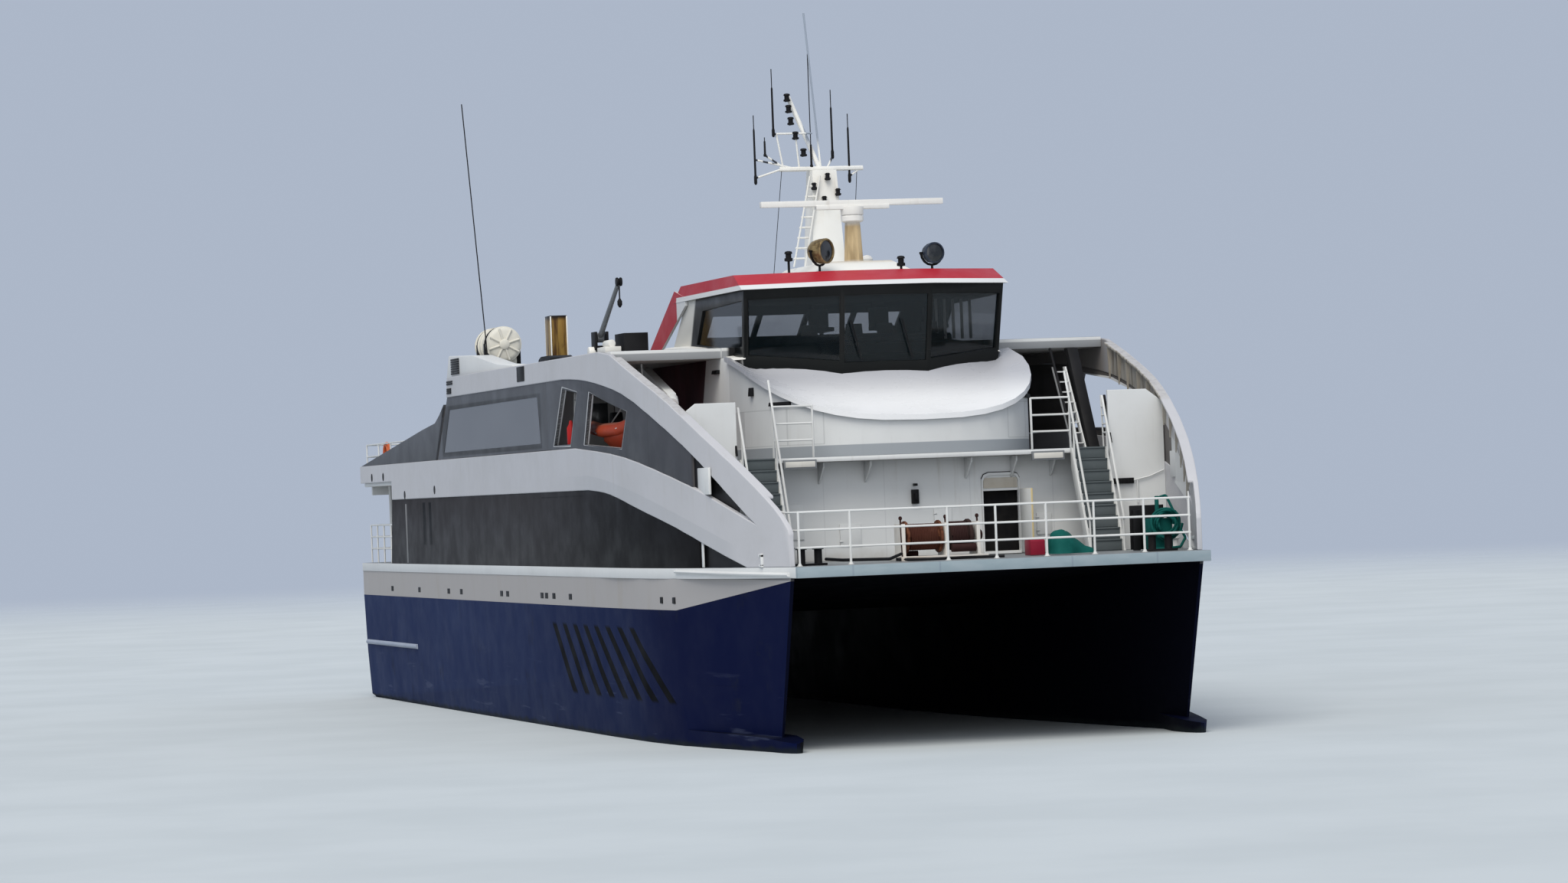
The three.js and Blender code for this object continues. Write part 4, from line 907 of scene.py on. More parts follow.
for x in (-7.6, -7.22, -6.86, -6.42, -6.08):
    raft.turned((x, *raft_axis), (x + 0.08, *raft_axis), ((0, 0.45), (0.2, 0.49), (0.8, 0.49), (1, 0.45)), 28)
for x, way in ((-7.6, -1), (-6.0, 1)):
    raft.turned((x, *raft_axis), (x + way * 0.05, *raft_axis), ((0, 0.46), (0.5, 0.44), (1, 0.36)), 28)
    for turn in range(4):
        angle = math.pi * turn / 4 + 0.3
        reach_y, reach_z = 0.44 * math.cos(angle), 0.44 * math.sin(angle)
        raft.tube((x + way * 0.06, raft_axis[0] - reach_y, raft_axis[1] - reach_z),
                  (x + way * 0.06, raft_axis[0] + reach_y, raft_axis[1] + reach_z), 0.03, 8)
    raft.turned((x + way * 0.04, *raft_axis), (x + way * 0.12, *raft_axis),
                ((0, 0.14), (0.7, 0.14), (1, 0.1)), 16)
raft.made("raft_ribs", drum, angle=40)
straps = Shape()
for x in (-7.3, -6.3):
    straps.turned((x - 0.05, *raft_axis), (x + 0.05, *raft_axis),
                  ((0, 0.47), (0.1, 0.485), (0.9, 0.485), (1, 0.47)), 28)
    for y in (-5.42, -4.53):
        straps.block((x - 0.08, y - 0.05, roof_z), (x + 0.08, y + 0.05, 9.98))
straps.made("raft_straps", black, 0.01)
refined("crane_column", black, 0.015)
refined("crane_jib", galvanised, 0.0)
gear = Shape().turned((7.3, -4.88, 9.24), (7.3, -5.6, 9.24), (
    (0, 0.1), (0.08, 0.17), (0.3, 0.17), (0.34, 0.1), (0.6, 0.1), (0.65, 0.14), (1, 0.14)), 18)
gear.block((7.62, -5.45, 9.18), (8.5, -5.05, 9.34)).tube((7.7, -5.25, 9.42), (8.4, -5.25, 9.42), 0.09, 14)
gear.made("crane_gear", roof_white, 0.01, slot="white_paint")
tip_x, tip_y, tip_z = 9.6, -5.3, 10.85
hook_x = tip_x + 0.02
tip = Shape().turned((tip_x, tip_y - 0.07, tip_z), (tip_x, tip_y + 0.07, tip_z), (
    (0, 0.1), (0.25, 0.11), (0.5, 0.075), (0.75, 0.11), (1, 0.1)), 18)
tip.tube((hook_x, tip_y, tip_z - 0.1), (hook_x, tip_y, tip_z - 0.42), 0.018)
tip.turned((hook_x, tip_y, tip_z - 0.62), (hook_x, tip_y, tip_z - 0.4),
           ((0, 0.02), (0.3, 0.06), (0.7, 0.06), (1, 0.02)), 12)
tip.made("jib_head", black, angle=40, body="crane_jib")


# Wheelhouse: outward-leaning windows in a narrow black frame, cream plate at the sides, dark
# tinted glass with the consoles and seats behind it. The roof's raked edge is red with a pale
# strip under it, and the red runs down the slanted after corners.
house = marine_paint("house_paint", "cream_paint", (740, 720, 660), (660, 630, 560), white_grime, 0.42, 0.5,
                     0.4)
window_frame = marine_paint("window_frame_paint", "black_paint", (10, 11, 11), (20, 20, 20), (30, 30, 30),
                            0.35)
middle_x = 9.0


def facing_out(finish):
    """Positive on the wheelhouse's outer faces and negative on its inner ones."""
    return finish.normal(0) * (finish.x - middle_x) * 0.45 + finish.normal(1) * finish.y


house.layer(house.x.step(12.8, 12.84), (10, 11, 11))
# Painted shade: faces that look into the wheelhouse are painted near black.
house.layer(facing_out(house).step(-0.2, -0.6), (12, 13, 14))
refined("wheelhouse", house, 0.012)
pillars = (window_frame.x - window_frame.z * 0.75).step(0.9, 0.7) * abs(window_frame.y).step(3.0, 3.05)
window_frame.layer(pillars * facing_out(window_frame).step(0.2, 0.6), (720, 700, 640))
refined("wheelhouse_window_frame", window_frame, 0.012)
roof_red = marine_paint("roof_red", "red_paint", (390, 20, 34), (470, 50, 64), (170, 25, 26), 0.4, 0.6, 0.35)
roof_red.layer(roof_red.z.step(10.535, 10.52) * roof_red.x.step(6.85, 6.95), (660, 670, 670))
roof_red.layer(roof_red.normal(2).step(0.975, 0.995), (600, 600, 580))
roof_red.layer(roof_red.normal(2).step(-0.7, -0.95), (400, 400, 400))
refined("wheelhouse_roof", roof_red, 0.02, 20)
house_low = ((4.4, -3.1), (12.85, -3.1), (14.0, -1.05), (14.0, 1.05), (12.85, 3.1), (4.4, 3.1))
house_high = ((7.6, -3.18), (13.35, -3.18), (14.45, -1.08), (14.45, 1.08), (13.35, 3.18), (7.6, 3.18))
house_levels = (8.3, 10.41)


def house_panes(shape, start, end, z_low, z_high):
    """A pane of glass between two corners of the wheelhouse's outline."""
    rings = []
    for z in (z_low, z_high):
        share = (z - house_levels[0]) / (house_levels[1] - house_levels[0])
        ring = []
        for corner, inset in ((start, 0.045), (end, 0.045), (end, 0.06), (start, 0.06)):
            (x0, y0), (x1, y1) = house_low[corner], house_high[corner]
            x, y = x0 + (x1 - x0) * share, y0 + (y1 - y0) * share
            ring.append((x - math.copysign(inset, x - middle_x), y - math.copysign(inset, y), z))
        rings.append(ring)
    return shape.skin(rings)


tinted = Finish("tinted_glass", "window_glass", (3, 7, 9), 0.06, specular=0.6)
# Painted reflection: the glass gets lighter towards its top.
tinted.layer(tinted.z.step(8.8, 10.2), (8, 14, 18))
tinted.shader.inputs["Alpha"].default_value = 0.42
glass = Shape()
for start in range(5):
    house_panes(glass, start, start + 1, 8.9 if start in (0, 4) else 8.58, 10.2)
glass.made("wheelhouse_glass", tinted)
clear = Finish("clear_glass", "window_glass", (100, 110, 120), 0.05, specular=0.5)
clear.shader.inputs["Alpha"].default_value = 0.12
house_panes(Shape(), 5, 0, 9.5, 10.16).made("rear_glass", clear)
inside = Finish("dark_interior", "black_paint", (12, 12, 13), 0.7)
inside.layer(inside.noise(0.4).step(0.4, 0.6), (22, 22, 23))
desk_z = 9.22
desk = ((11.2, -2.2), (12.55, -2.1), (13.3, -0.9), (13.3, 0.9), (12.55, 2.1), (11.2, 2.2),
        (11.2, 1.7), (12.2, 1.6), (12.6, 0.7), (12.6, -0.7), (12.2, -1.6), (11.2, -1.7))
interior = Shape().prism(desk, "z", 9.13, desk_z)
interior.skin([[(x + 0.03, y, desk_z) for x, y in desk], [(x, y * 0.98, 9.3) for x, y in desk]])
interior.block((8.2, -2.9, 10.22), (13.0, 2.9, 10.3))
for y in (-0.75, 0.75, 2.1):
    interior.turned((11.2, y, 9.13), (11.2, y, 9.45), ((0, 0.22), (0.2, 0.05), (0.9, 0.05), (1, 0.2)), 14)
    interior.block((10.95, y - 0.26, 9.45), (11.45, y + 0.26, 9.55))
    interior.block((10.9, y - 0.24, 9.52), (11.02, y + 0.24, 10.0))
    interior.block((10.9, y - 0.14, 10.0), (11.0, y + 0.14, 10.12))
for y in (-1.5, -0.4, 0.35, 1.45):
    screen = ((0, -0.2), (0, 0.2), (0.04, 0.2), (0.04, -0.2))
    interior.skin([[(x + dx, y + dy, z + dx * lift) for dx, dy in screen]
                   for x, z, lift in ((12.9, 9.3, 0), (12.82, 9.56, 0.25))])
interior.made("wheelhouse_fittings", inside, 0.02)
blinds = Shape()
for y in (1.62, 1.86, 2.1, 2.34, 2.58):
    x = 13.0 - (y - 1.1) * 0.42
    blinds.block((x, y, 9.15), (x + 0.02, y + 0.07, 10.1))
pale_blind = marine_paint("blind_cloth", "grey_panel", (300, 310, 310), (220, 230, 230), (100, 100, 100), 0.7)
blinds.made("window_blinds", pale_blind)
wipers = Shape()
for y in (-0.605, 0.635):
    wipers.beam(((14.165, y, 8.68), (14.375, y - 0.28, 9.6)), (0.015, 0.015, 0))
wipers.made("window_wipers", black)


# Mast: a cream box trunk with small lamps up its front, a cross yard that carries whip aerials
# in tall sockets, a leaning pole of signal lamps, and a radar bar on a tan pedestal ahead of it.
mast_x = 9.0
yard_z = 13.5
yard_under = 13.3
mast = marine_paint("mast_paint", "cream_paint", (740, 740, 710), (660, 630, 560), (300, 200, 100), 0.45,
                    0.5, 0.55)
tan = mast.mix(mast.noise(0.2, (1, 1, 5)).step(0.3, 0.7), (500, 380, 220), (300, 220, 120))
mast.layer(mast.x.step(11.2, 11.25) * mast.z.step(11.0, 11.15) * mast.z.step(12.1, 11.9), tan)
rods = mast.joints(mast.y, (-1.66, -1.4, -1.17, 0.3, 0.71), 0.065) * mast.z.step(13.62, 13.66)
rods += mast.joints(mast.y, (-1.66, 0.71), 0.065) * mast.z.between(13.1, 13.36)
mast.layer(rods * abs(mast.x - mast_x).step(0.14, 0.12), (45, 50, 60))
beside_lamps = mast.y + 0.35 + (mast.z - 14.3) * 0.143
tall_pole = beside_lamps.step(-0.02, 0.02) * mast.y.step(0.2, 0.15) * mast.z.step(13.9, 14.3)
mast.layer(tall_pole, (270, 310, 370))
refined("mast", mast)
radar_white = marine_paint("radar_paint", "white_paint", (720, 710, 680), (620, 600, 550), (300, 240, 180),
                           0.4)
refined("radar_scanner", radar_white, 0.03)
# Whips: distance to port, foot of the socket, head of the socket, top of the whip
whips = ((-1.66, 13.14, 14.5, 14.83), (-1.17, 14.29, 15.5, 15.95), (0.3, 13.73, 15.0, 15.42),
         (0.71, 13.14, 14.5, 14.83), (-1.4, 13.82, 14.2, 14.29), (-0.24, 13.5, 14.1, 16.3))
sockets = Shape()
for y, foot, head, top in whips:
    sockets.turned((mast_x, y, foot), (mast_x, y, head), (
        (0, 0.02), (0.03, 0.04), (0.14, 0.04), (0.18, 0.028), (0.97, 0.024), (1, 0.016)), 12)
sockets.made("aerial_sockets", black, angle=45)
piped("aerial_whips", [[(mast_x, y, head - 0.02), (mast_x, y, top)] for y, foot, head, top in whips], 0.012,
      black)
# Stays at the mast: from and to, each as distance to port and height; then the lamp ladder
stays = ((-1.66, 13.3, -1.02, 13.5), (-1.66, 13.75, -0.6, 13.5), (0.71, 13.3, 1.0, 13.5),
         (-1.17, 14.37, -0.2, 14.37),
         (-1.1, 14.37, -0.95, 13.5), (-0.62, 14.37, -0.55, 13.5), (0.3, 13.8, 0.12, 13.45),
         (-1.4, 13.85, -0.9, 13.52))
runs = [[(mast_x, y0, z0), (mast_x, y1, z1)] for y0, z0, y1, z1 in stays]
runs += [[(9.45, -0.9, 11.1), (9.4, -0.4, yard_under)], [(9.45, -0.62, 11.1), (9.4, -0.15, yard_under)]]
for i in range(8):
    x, lean, z = 9.45 - 0.01 * i, 0.06 * i, 11.3 + 0.25 * i
    runs.append([(x, lean - 0.9, z), (x, lean - 0.62, z)])
piped("mast_brackets", runs, 0.024, mast)
lamps = Shape()
for y, z in ((-0.76, 15.26), (-0.74, 14.98), (-0.71, 14.68), (-0.62, 14.32), (-0.45, 13.9)):
    x = mast_x - 0.3 * (z - yard_z) / 1.85
    lamps.turned((x + 0.14, y, z - 0.1), (x + 0.14, y, z + 0.1), (
        (0, 0.05), (0.05, 0.085), (0.25, 0.085), (0.3, 0.06), (0.7, 0.06), (0.75, 0.085), (0.95, 0.07),
        (1, 0.03)), 14)
    lamps.block((x, y - 0.015, z - 0.1), (x + 0.16, y + 0.015, z - 0.07))
for y, z in ((-0.3, 13.05), (0.05, 13.28), (-0.05, 12.72), (0.3, 12.9)):
    lamps.turned((mast_x + 0.38, y, z - 0.09), (mast_x + 0.38, y, z + 0.09), (
        (0, 0.05), (0.1, 0.075), (0.3, 0.075), (0.35, 0.05), (0.75, 0.05), (0.8, 0.075), (1, 0.04)), 14)
for x, y, z in ((11.65, -1.61, 11.25), (13.1, 0.75, 11.0)):
    lamps.tube((x, y, 10.8), (x, y, z - 0.1), 0.03)
    lamps.turned((x, y, z - 0.12), (x, y, z + 0.13), (
        (0, 0.06), (0.05, 0.1), (0.3, 0.1), (0.35, 0.07), (0.7, 0.07), (0.75, 0.1), (0.95, 0.08),
        (1, 0.03)), 16)
lamps.made("signal_lamps", black, angle=40)
horns = Shape()
for z, long in ((11.62, 0.42), (11.42, 0.34)):
    horns.turned((9.5, 0.42, z), (9.5 + long, 0.42, z), (
        (0, 0.04), (0.1, 0.055), (0.3, 0.04), (0.7, 0.06), (0.92, 0.11), (1, 0.15)), 18)
horns.turned((10.6, -0.62, 10.98), (10.6, -0.62, 11.42), (
    (0, 0.06), (0.5, 0.06), (0.55, 0.16), (0.75, 0.18), (0.92, 0.12), (1, 0.03)), 20)
horns.turned((10.3, 0.7, 10.98), (10.3, 0.7, 11.3), (
    (0, 0.05), (0.4, 0.05), (0.45, 0.13), (0.7, 0.15), (0.92, 0.1), (1, 0.03)), 20)
horns.turned((11.65, 0, 12.02), (11.65, 0, 12.2), ((0, 0.2), (0.2, 0.27), (0.8, 0.27), (1, 0.24)), 24)
horns.made("mast_fittings", radar_white)
halyards = [[(11.5, -1.95, 10.8), (mast_x, -1.0, 13.46)], [(7.9, 1.0, 10.82), (mast_x, 0.9, 13.46)]]
piped("halyards", halyards, 0.008, black)


def ringed(centre, aside, share, radius):
    """A point on an upright ring about the centre; aside is the ring's level direction."""
    out, up = spin(share, radius)
    return centre + aside * out + Vector((0, 0, up))


# Searchlights: brass to starboard, blue-black to port, each with dark glass, in a fork on a post
for name, (x, y, z, size), yaw, metallic, tone, worn in (
        ("starboard", (12.9, -1.19, 11.29, 0.3), 38, 0.6, (340, 250, 120), (120, 80, 40)),
        ("port", (12.8, 1.6, 11.19, 0.25), 8, 0.1, (20, 30, 50), (50, 60, 80))):
    shell = Finish("searchlight_shell_" + name, "brass_metal", tone, 0.35, metallic)
    shell.layer(shell.noise(0.15, detail=6).step(0.35, 0.7), worn)
    centre = Vector((x, y, z))
    ahead = Vector((math.cos(math.radians(yaw)), math.sin(math.radians(yaw)), 0))
    aside = Vector((-ahead.y, ahead.x, 0))
    body = Shape().turned(centre - ahead * size * 0.8, centre + ahead * size * 0.8, [
        (share, radius * size) for share, radius in (
            (0, 0.35), (0.06, 0.62), (0.25, 0.86), (0.5, 0.95), (0.82, 0.95), (0.84, 1), (0.97, 1), (1, 0.96),
            (1.0, 0.86), (0.93, 0.84))], 36)
    for turn in range(12):
        at = ringed(centre, aside, turn / 12, size * 0.95)
        body.tube(at, at + ahead * size * 0.62, size * 0.03, 6)
    body.made("searchlight_body_" + name, shell, angle=30, stands_for=("searchlight_" + name,))
    dark_glass = Finish("searchlight_glass_" + name, "window_glass", (8, 10, 12), 0.08, specular=0.6)
    dark_glass.layer(dark_glass.noise(0.3).step(0.4, 0.6), (30, 33, 36))
    Shape().turned(centre + ahead * size * 0.66, centre + ahead * size * 0.74, (
        (0, size * 0.84), (0.4, size * 0.84), (1, size * 0.6), (1.15, size * 0.25)), 36
    ).made("searchlight_front_" + name, dark_glass, angle=40)
    arm = size * 1.12
    fork = [ringed(centre, aside, 0.5 + i / 16, arm) for i in range(9)]
    pins = [centre - aside * (arm + 0.03), centre + aside * (arm + 0.03)]
    piped("searchlight_fork_" + name, [fork, [(x, y, 10.8), (x, y, z - arm)], pins], 0.03, black)
piped("aft_aerial", [[(-5.7, -5.5, 9.6), (-8.0, -5.5, 16.6)]], 0.016, black)


# Rescue boat: a red-orange rigid inflatable on its cradle, with side tubes that rise to the bow,
# a grab line, a small console and an outboard motor, hung from white lifting straps.
boat_red = marine_paint("boat_orange_paint", "boat_orange", (460, 60, 24), (550, 130, 60), (120, 30, 20),
                        0.5, 0.5, 0.2)
boat_red.layer(boat_red.normal(2).step(0.55, 0.95) * 0.6, (600, 280, 200))
refined("rescue_boat", boat_red, 0.02, 50)
boat_y = -5.0
gunwale = ((7.5, 0.6, 7.4), (9.2, 0.74, 7.3), (10.8, 0.68, 7.3), (11.7, 0.5, 7.42), (12.3, 0.28, 7.58))
around = [(x, boat_y - half, z) for x, half, z in gunwale] + [(12.56, boat_y, 7.66)]
around += [(x, boat_y + half, z) for x, half, z in gunwale[::-1]]
piped("boat_tubes", [around], 0.17, boat_red, 0.25)
line = []
for x, half, z in gunwale:
    line += [(x - 0.2, boat_y - half - 0.13, z - 0.06), (x + 0.15, boat_y - half - 0.14, z + 0.02)]
piped("boat_grab_line", [line], 0.012, white, 0.05)
console = ((9.9, 7.1), (10.5, 7.1), (10.42, 7.62), (10.12, 7.72), (9.9, 7.66))
motor = ((7.28, 7.1), (7.62, 7.14), (7.64, 7.62), (7.58, 7.76), (7.32, 7.76), (7.22, 7.6))
boat_gear = Shape().prism(console, "y", boat_y - 0.22, boat_y + 0.22)
boat_gear.block((9.1, boat_y - 0.34, 7.05), (9.5, boat_y + 0.34, 7.36))
boat_gear.prism(motor, "y", boat_y - 0.13, boat_y + 0.13)
boat_gear.block((7.34, boat_y - 0.05, 6.72), (7.46, boat_y + 0.05, 7.15))
for x in (9.2, 10.8):
    for way in (-1, 1):
        boat_gear.block((x - 0.06, boat_y + way * 0.5, 6.43), (x + 0.06, boat_y + way * 0.36, 6.9))
boat_gear.made("boat_gear", black, 0.02)
hook = (10.4, boat_y, 8.5)
slings = [[(x, boat_y + half, z), hook] for x, half, z in (
    (8.6, -0.45, 7.4), (8.6, 0.45, 7.4), (12.2, -0.25, 7.68), (12.2, 0.25, 7.68))]
piped("boat_straps", slings + [[hook, (10.4, boat_y, 8.84)]], 0.018, white)


# Stairs and rails: slate-grey closed treads between white stringers, white pipe rails with
# welded post feet, and a black strip beside each stair's outer handrail on the platform.
tread = marine_paint("stair_paint", "rail_steel", (620, 625, 610), (540, 540, 520), white_grime, 0.4, 0.4,
                     0.3)
between_strings = abs(tread.y).between(3.56, 4.3) * tread.x.between(17.0, 18.12) * tread.z.between(4.0, 6.43)
slate = tread.mix(tread.noise(0.5).step(0.3, 0.7), (70, 85, 90), (110, 125, 130))
slate = tread.mix(tread.normal(0).step(0.6, 0.9) * 0.25, slate, (50, 60, 65))
tread.layer(between_strings, slate)
steps = 9
stair_x = (18.1, 17.02)
stair_z = (4.03, 6.42)
going = (stair_x[0] - stair_x[1]) / steps
rise = (stair_z[1] - stair_z[0]) / steps
slate_plate = marine_paint("tread_plate", "grey_panel", (85, 100, 105), (120, 135, 140), (40, 45, 45), 0.5)
for name, side in both_sides:
    refined("stair_" + name, tread, 0.004)
    low, high = side * 3.565, side * 4.295
    for part, front, back, foot, head in (
            ("stair_nosings_", 0.035, -going - 0.02, rise - 0.03, rise + 0.006),
            ("stair_risers_", 0.012, 0.001, 0.02, rise)):
        step = Shape().block((stair_x[0] + back, low, stair_z[0] + foot),
                             (stair_x[0] + front, high, stair_z[0] + head))
        step.repeated(part + name, steps, (-going, 0, rise), slate_plate)
    strip_y = side * 4.445
    Shape().beam(((17.15, strip_y, 6.5), (16.78, strip_y, 7.62)), (0.03, 0.025, 0)).made(
        "stair_strip_" + name, black, 0.01)
    y0, y1 = side * 4.48, side * 4.5
    gate = [[(16.5, y0, 6.43), (16.41, y0, 7.62)], [(16.9, y1, 6.43), (16.8, y1, 7.4)]]
    for i in range(4):
        z = 6.75 + 0.2 * i
        gate.append([(16.87 - 0.08 * i, y1, z), (16.48 - 0.02 * i, y0, z)])
    piped("platform_gate_" + name, gate, 0.02, tread)
rail = marine_paint("bow_rail_paint", "rail_steel", (660, 665, 650), (550, 550, 530), (300, 200, 120), 0.4,
                    0.4, 0.4)
refined("bow_rail", rail, 0.0)
rail_x = 22.36
feet = Shape()
for y in (-4.45, -3.3, -1.1, 0.0, 1.15, 2.25, 3.4, 4.45):
    feet.turned((rail_x, y, 4.032), (rail_x, y, 4.09), ((0, 0.07), (0.25, 0.07), (0.3, 0.045), (1, 0.035)),
                14)
feet.made("rail_feet", rail, angle=40)
side_runs = []
for name, side in both_sides:
    y = side * 4.62
    for z in (4.43, 4.81, 5.2):
        side_runs.append([(rail_x, side * 4.47, z), (21.9, y, z), (21.2, side * 4.86, z + (z - 4.03) * 0.1)])
    side_runs.append([(21.9, y, 4.04), (21.9, y, 5.2)])
piped("bow_rail_returns", side_runs, 0.022, rail, 0.08)


# Foredeck gear: a double anchor winch with a rust-brown rope drum, bollards joined by a pipe,
# a heap of teal tarpaulin beside a red box, and a teal hose on a stand before a dark board.
winch_white = marine_paint("winch_paint", "white_paint", (600, 580, 540), (500, 420, 340), (200, 90, 40),
                           0.5, 0.7, 0.8)
refined("winch_frame", winch_white, 0.012)
rust = Finish("winch_drum_paint", "brass_metal", (50, 15, 9), 0.75)
rust.layer(rust.noise(0.12, detail=6).step(0.35, 0.7), (150, 58, 30))
rust.layer(rust.y.step(-0.64, -0.62), (35, 20, 18))
rust.bump(rust.noise(0.06), 0.006)
refined("winch_drum", rust, 0.006)
rope = marine_paint("rope", "brass_metal", (55, 18, 12), (130, 55, 35), (30, 10, 7), 0.85, 0.8)
dark_rope = marine_paint("dark_rope", "brass_metal", (30, 13, 12), (60, 30, 24), (10, 6, 6), 0.85, 0.8)
winch_x, winch_z = 20.6, 4.55
for name, start, end, radius, wraps, laid in (
        ("rope_turns", -1.51, -0.86, 0.275, 17, rope), ("second_rope", -0.56, -0.18, 0.3, 10, dark_rope)):
    turns = []
    for i in range(wraps * 16 + 1):
        out, up = spin(i / 16, radius)
        turns.append((winch_x + out, start + (end - start) * i / (wraps * 16), winch_z + up))
    piped(name, [turns], 0.021, laid, body="winch_drum")
gear = Shape().turned((winch_x, 0.1, winch_z), (winch_x, 0.2, winch_z),
                      ((0, 0.1), (0.4, 0.13), (0.6, 0.13), (1, 0.09)), 18)
gear.tube((20.95, -0.6, 4.28), (20.95, -0.05, 4.28), 0.09, 16)
gear.tube((20.3, -1.62, 4.18), (20.3, -1.2, 4.18), 0.07, 14)
for y in (-1.72, -0.69, 0.04):
    gear.tube((20.9, y, 4.13), (20.82, y, 4.95), 0.022)
    gear.turned((20.82, y, 4.93), (20.82, y, 5.02), ((0, 0.02), (0.3, 0.04), (0.7, 0.04), (1, 0.02)), 10)
gear.made("winch_gear", dark_rope, angle=40, slot="black_paint")
for name, side in both_sides:
    refined("bollards_" + name, black, 0.008)
deck_pipes = [[(21.6, -3.66, 4.16), (21.3, -3.2, 4.12), (21.2, -2.1, 4.1), (20.95, -1.75, 4.2)],
              [(21.0, -1.9, 4.08), (21.3, -1.2, 4.06), (21.15, -0.3, 4.06), (21.3, 0.5, 4.06)]]
piped("deck_pipes", deck_pipes, 0.035, black, 0.12)
teal = marine_paint("teal_canvas", "green_paint", (4, 75, 65), (15, 140, 120), (4, 30, 28), 0.75, 0.9, 0.3)
refined("hose_tank", teal, 0.02)
heap = []
fold_count = 22
for i in range(fold_count):
    share = i / (fold_count - 1)
    swell = math.exp(-((share - 0.26) / 0.36) ** 2)
    height = (0.1 + 0.46 * swell) * min(1.0, 0.45 + share * 9, 0.3 + (1 - share) * 8)
    reach = (0.16 + 0.26 * swell) * min(1.0, 0.3 + share * 8, 0.4 + (1 - share) * 5)
    ring = []
    for j in range(18):
        angle = math.pi * 2 * j / 18
        wave = 1 + 0.07 * math.sin(5 * angle + share * 11) + 0.045 * math.cos(9 * angle - share * 19)
        ring.append((20.55 + reach * math.cos(angle) * wave, 1.74 + 1.12 * share,
                     4.05 + max(0.0, math.sin(angle)) * height * wave))
    heap.append(ring)
Shape().skin(heap).made("tarpaulin", teal, angle=70)
chest_red = marine_paint("chest_paint", "red_paint", (220, 12, 30), (300, 30, 45), (80, 10, 12), 0.4)
chest = ((20.3, 4.04), (20.75, 4.04), (20.75, 4.36), (20.68, 4.42), (20.36, 4.42), (20.3, 4.36))
Shape().prism(chest, "y", 1.28, 1.62).made("red_chest", chest_red, 0.015)
hose = []
for i in range(5 * 20 + 1):
    out, up = spin(i / 20, 0.17 + 0.002 * i)
    hose.append((20.88 + 0.06 * math.sin(i * 0.7), 4.42 + out, 4.62 + up))
loose = [(20.88, 4.75, 4.5), (20.9, 4.86, 4.3), (21.0, 4.7, 4.1), (21.1, 4.3, 4.07), (21.0, 3.95, 4.07)]
to_tank = [(20.5, 4.35, 5.2), (20.7, 4.5, 5.26), (20.85, 4.62, 4.9), (20.88, 4.66, 4.5)]
piped("teal_hoses", [hose, loose, to_tank], 0.03, teal, 0.05)
board = Shape().block((20.0, 3.86, 4.06), (20.05, 4.66, 5.05)).block((20.05, 3.9, 4.04), (20.18, 4.05, 4.95))
board.made("hose_board", black, 0.01)
flood = Shape().block((17.11, 4.45, 5.55), (17.2, 4.95, 5.68))
for i in range(6):
    flood.block((17.2, 4.47 + 0.08 * i, 5.56), (17.21, 4.52 + 0.08 * i, 5.67))
flood.made("wing_floodlight", black, 0.01)
piped("floodlight_pipe", [[(17.14, 4.95, 5.62), (17.14, 5.35, 5.7), (17.14, 5.7, 5.84)],
                          [(17.14, 5.05, 5.62), (17.14, 5.05, 5.1)]], 0.016, white)


# Stern and after decks: a hinged ramp with cleats, dark windows in the after wall, rows of seats
# on the open upper deck, pipe rails round both after decks, life rings and posts.
ramp = marine_paint("ramp_paint", "deck_grey", deck_grey, (300, 310, 310), (120, 90, 60), 0.6, 0.7, 0.5)
refined("stern_ramp", ramp, 0.012)
cleat = Shape().block((-22.13, -2.3, 4.42), (-22.08, 2.3, 4.46))
cleat.repeated("ramp_cleats", 7, (0, 0, 0.25), ramp, body="stern_ramp")
hinge = Shape()
for y in (-2.1, -0.7, 0.7, 2.1):
    hinge.tube((-22.2, y - 0.12, 4.12), (-22.2, y + 0.12, 4.12), 0.045, 12)
    hinge.block((-22.18, y - 0.1, 4.06), (-22.0, y + 0.1, 4.1))
hinge.made("ramp_hinges", galvanised, angle=40)
refined("lounge_aft_wall", white_plate("lounge_aft_paint", 0.45, 0.4, 0.4), angle=25)
aft_glass = Shape()
frames = []
for y in (-4.8, -3.4, 3.4, 4.8):
    aft_glass.block((-16.925, y - 0.5, 4.95), (-16.905, y + 0.5, 5.75))
    frames.append([(-16.93, y + out, z) for out, z in (
        (-0.52, 4.93), (0.52, 4.93), (0.52, 5.77), (-0.52, 5.77), (-0.52, 4.93))])
aft_glass.made("aft_windows", pane)
piped("aft_window_rims", frames, 0.025, black, 0.06)
seat = marine_paint("seat_shell", "hull_blue", (60, 110, 240), (100, 160, 300), (30, 40, 60), 0.4)
seat_form = ((0.1, 6.82), (0.48, 6.84), (0.5, 6.88), (0.14, 6.9), (0, 7.3), (-0.04, 7.3))
for name, side in both_sides:
    leg_y = side * 1.41
    for row, back in enumerate((-13.1, -14.6, -16.1, -17.6)):
        chair = Shape().prism([(back + x, z) for x, z in seat_form], "y", side * 1.2, side * 1.62)
        chair.block((back + 0.24, leg_y - 0.03, 6.43), (back + 0.3, leg_y + 0.03, 6.83))
        chair.repeated("seats_%s_%d" % (name, row), 6, (0, side * 0.5, 0), seat)
stern_x = -22.1
stern_runs = [[(-10.2, -6.0, z), (stern_x, -6.0, z), (stern_x, 6.0, z), (-10.2, 6.0, z)]
              for z in (6.85, 7.2, 7.55)]
posts = [(x, y) for x in (stern_x, -20.1, -18.1, -16.1, -14.1, -12.1) for y in (6.0, -6.0)]
posts += [(stern_x, y) for y in (-4, -2, 0, 2, 4)]
stern_runs += [[(x, y, 6.42), (x, y, 7.56)] for x, y in posts]
piped("stern_rails", stern_runs, 0.024, rail)
quarter_x = -22.15
deck_runs = []
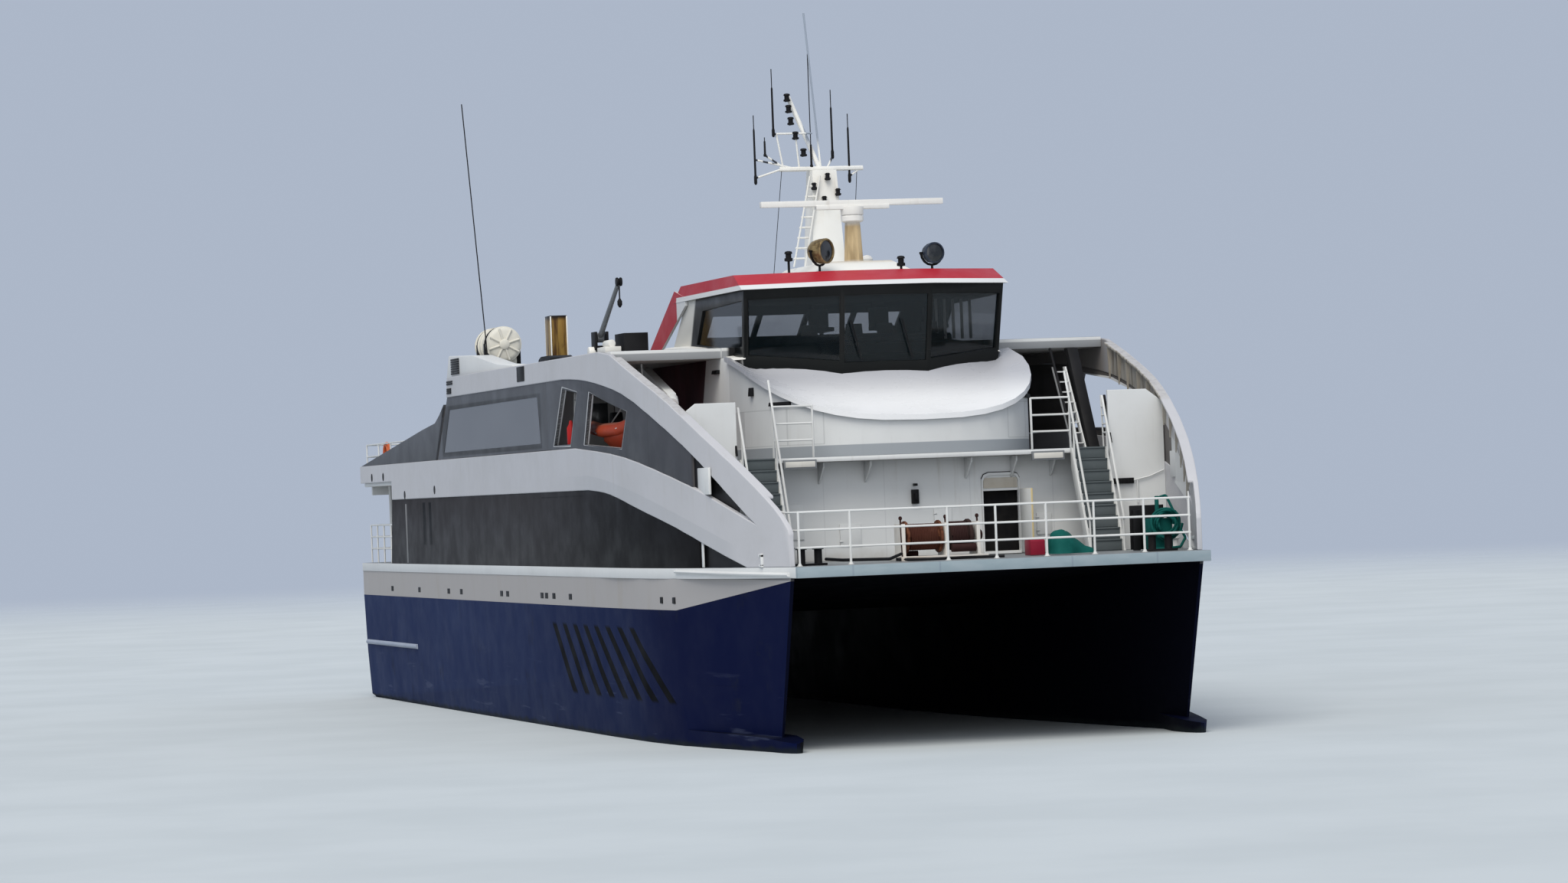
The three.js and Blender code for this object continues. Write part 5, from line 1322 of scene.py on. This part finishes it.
for name, side in both_sides:
    y = side * 5.95
    deck_runs += [[(-17.7, y, z), (quarter_x, y, z), (quarter_x, side * 2.7, z)] for z in (4.45, 4.8, 5.15)]
    posts = [(x, y) for x in (-18.8, -20.0, -21.1, quarter_x)]
    posts += [(quarter_x, side * out) for out in (2.7, 3.8, 4.9)]
    deck_runs += [[(x, y, 4.04), (x, y, 5.16)] for x, y in posts]
piped("aft_deck_rails", deck_runs, 0.024, rail)
ring_paint = marine_paint("life_ring_paint", "boat_orange", (550, 100, 30), (600, 200, 100), (200, 50, 20),
                          0.5)
rings = Shape()
for name, side in both_sides:
    for x in (-19.1, -11.2):
        rows = []
        for i in range(28):
            out_x, out_z = spin(i / 28, 1)
            rows.append([])
            for k in range(10):
                far, aside = spin(k / 10, 0.07)
                point = (x + (0.33 + far) * out_x, side * 5.93 + aside, 7.2 + (0.33 + far) * out_z)
                rows[-1].append(rings.mesh.verts.new(point))
        for first, second in zip(rows, rows[1:] + rows[:1]):
            for k in range(10):
                rings.mesh.faces.new((first[k], first[(k + 1) % 10], second[(k + 1) % 10], second[k]))
rings.made("life_rings", ring_paint, angle=60)
beams = Shape()
for low, high in ((-5.9, -5.2), (5.2, 5.9)):
    beams.block((-22.12, low, 6.05), (-21.98, high, 6.3))
for y in (-5.4, -1.8, 1.8, 5.4):
    beams.tube((-21.7, y, 4.04), (-21.7, y, 6.3), 0.06, 14)
beams.made("aft_posts", white, angle=40)


# Below the water: the shafts in their brackets, bronze four-bladed propellers and steel rudders,
# all under the same worn antifouling as the hulls.
antifouling = marine_paint("antifouling", "rail_steel", (30, 32, 50), (50, 52, 70), (20, 20, 16), 0.7)
shaft_steel = Finish("shaft_steel", "rail_steel", (350, 340, 330), 0.35, 0.8)
shaft_steel.layer(shaft_steel.noise(0.3).step(0.3, 0.7), (200, 190, 180))
bronze = Finish("bronze", "propeller_bronze", (550, 330, 140), 0.36, 0.85)
tarnish = bronze.noise(0.1, detail=6).step(0.35, 0.7)
bronze.layer(tarnish, (160, 130, 70))
bronze.wear(tarnish * 0.25 + 0.28, "Roughness")
shaft_z = -1.5
keel_y = 4.5
for name, side in both_sides:
    refined("shaft_" + name, shaft_steel, 0.008, 40)
    refined("propeller_" + name, bronze, 0.006, 50)
    refined("rudder_" + name, antifouling, 0.01, 30)
    y = side * 4.515
    hub = Shape().turned((-19.9, y, shaft_z), (-19.62, y, shaft_z),
                         ((0, 0.02), (0.2, 0.08), (0.6, 0.12), (1, 0.13)), 20)
    for i in range(6):
        out, up = spin(i / 6, 0.09)
        hub.tube((-19.7, y + out, shaft_z + up), (-19.64, y + out, shaft_z + up), 0.018, 6)
    hub.made("propeller_cap_" + name, bronze, angle=40, body="propeller_" + name)
    hull_skin = skin_of("hull_" + name)
    anodes = Shape()
    for x in (-16.4, -14.9):
        y, bottom = side * keel_y, meets(hull_skin, (x, side * keel_y, -4), (0, 0, 1)).z
        anodes.block((x - 0.22, y - 0.06, bottom - 0.05), (x + 0.22, y + 0.06, bottom + 0.03))
    anodes.made("anodes_" + name, galvanised, 0.015)
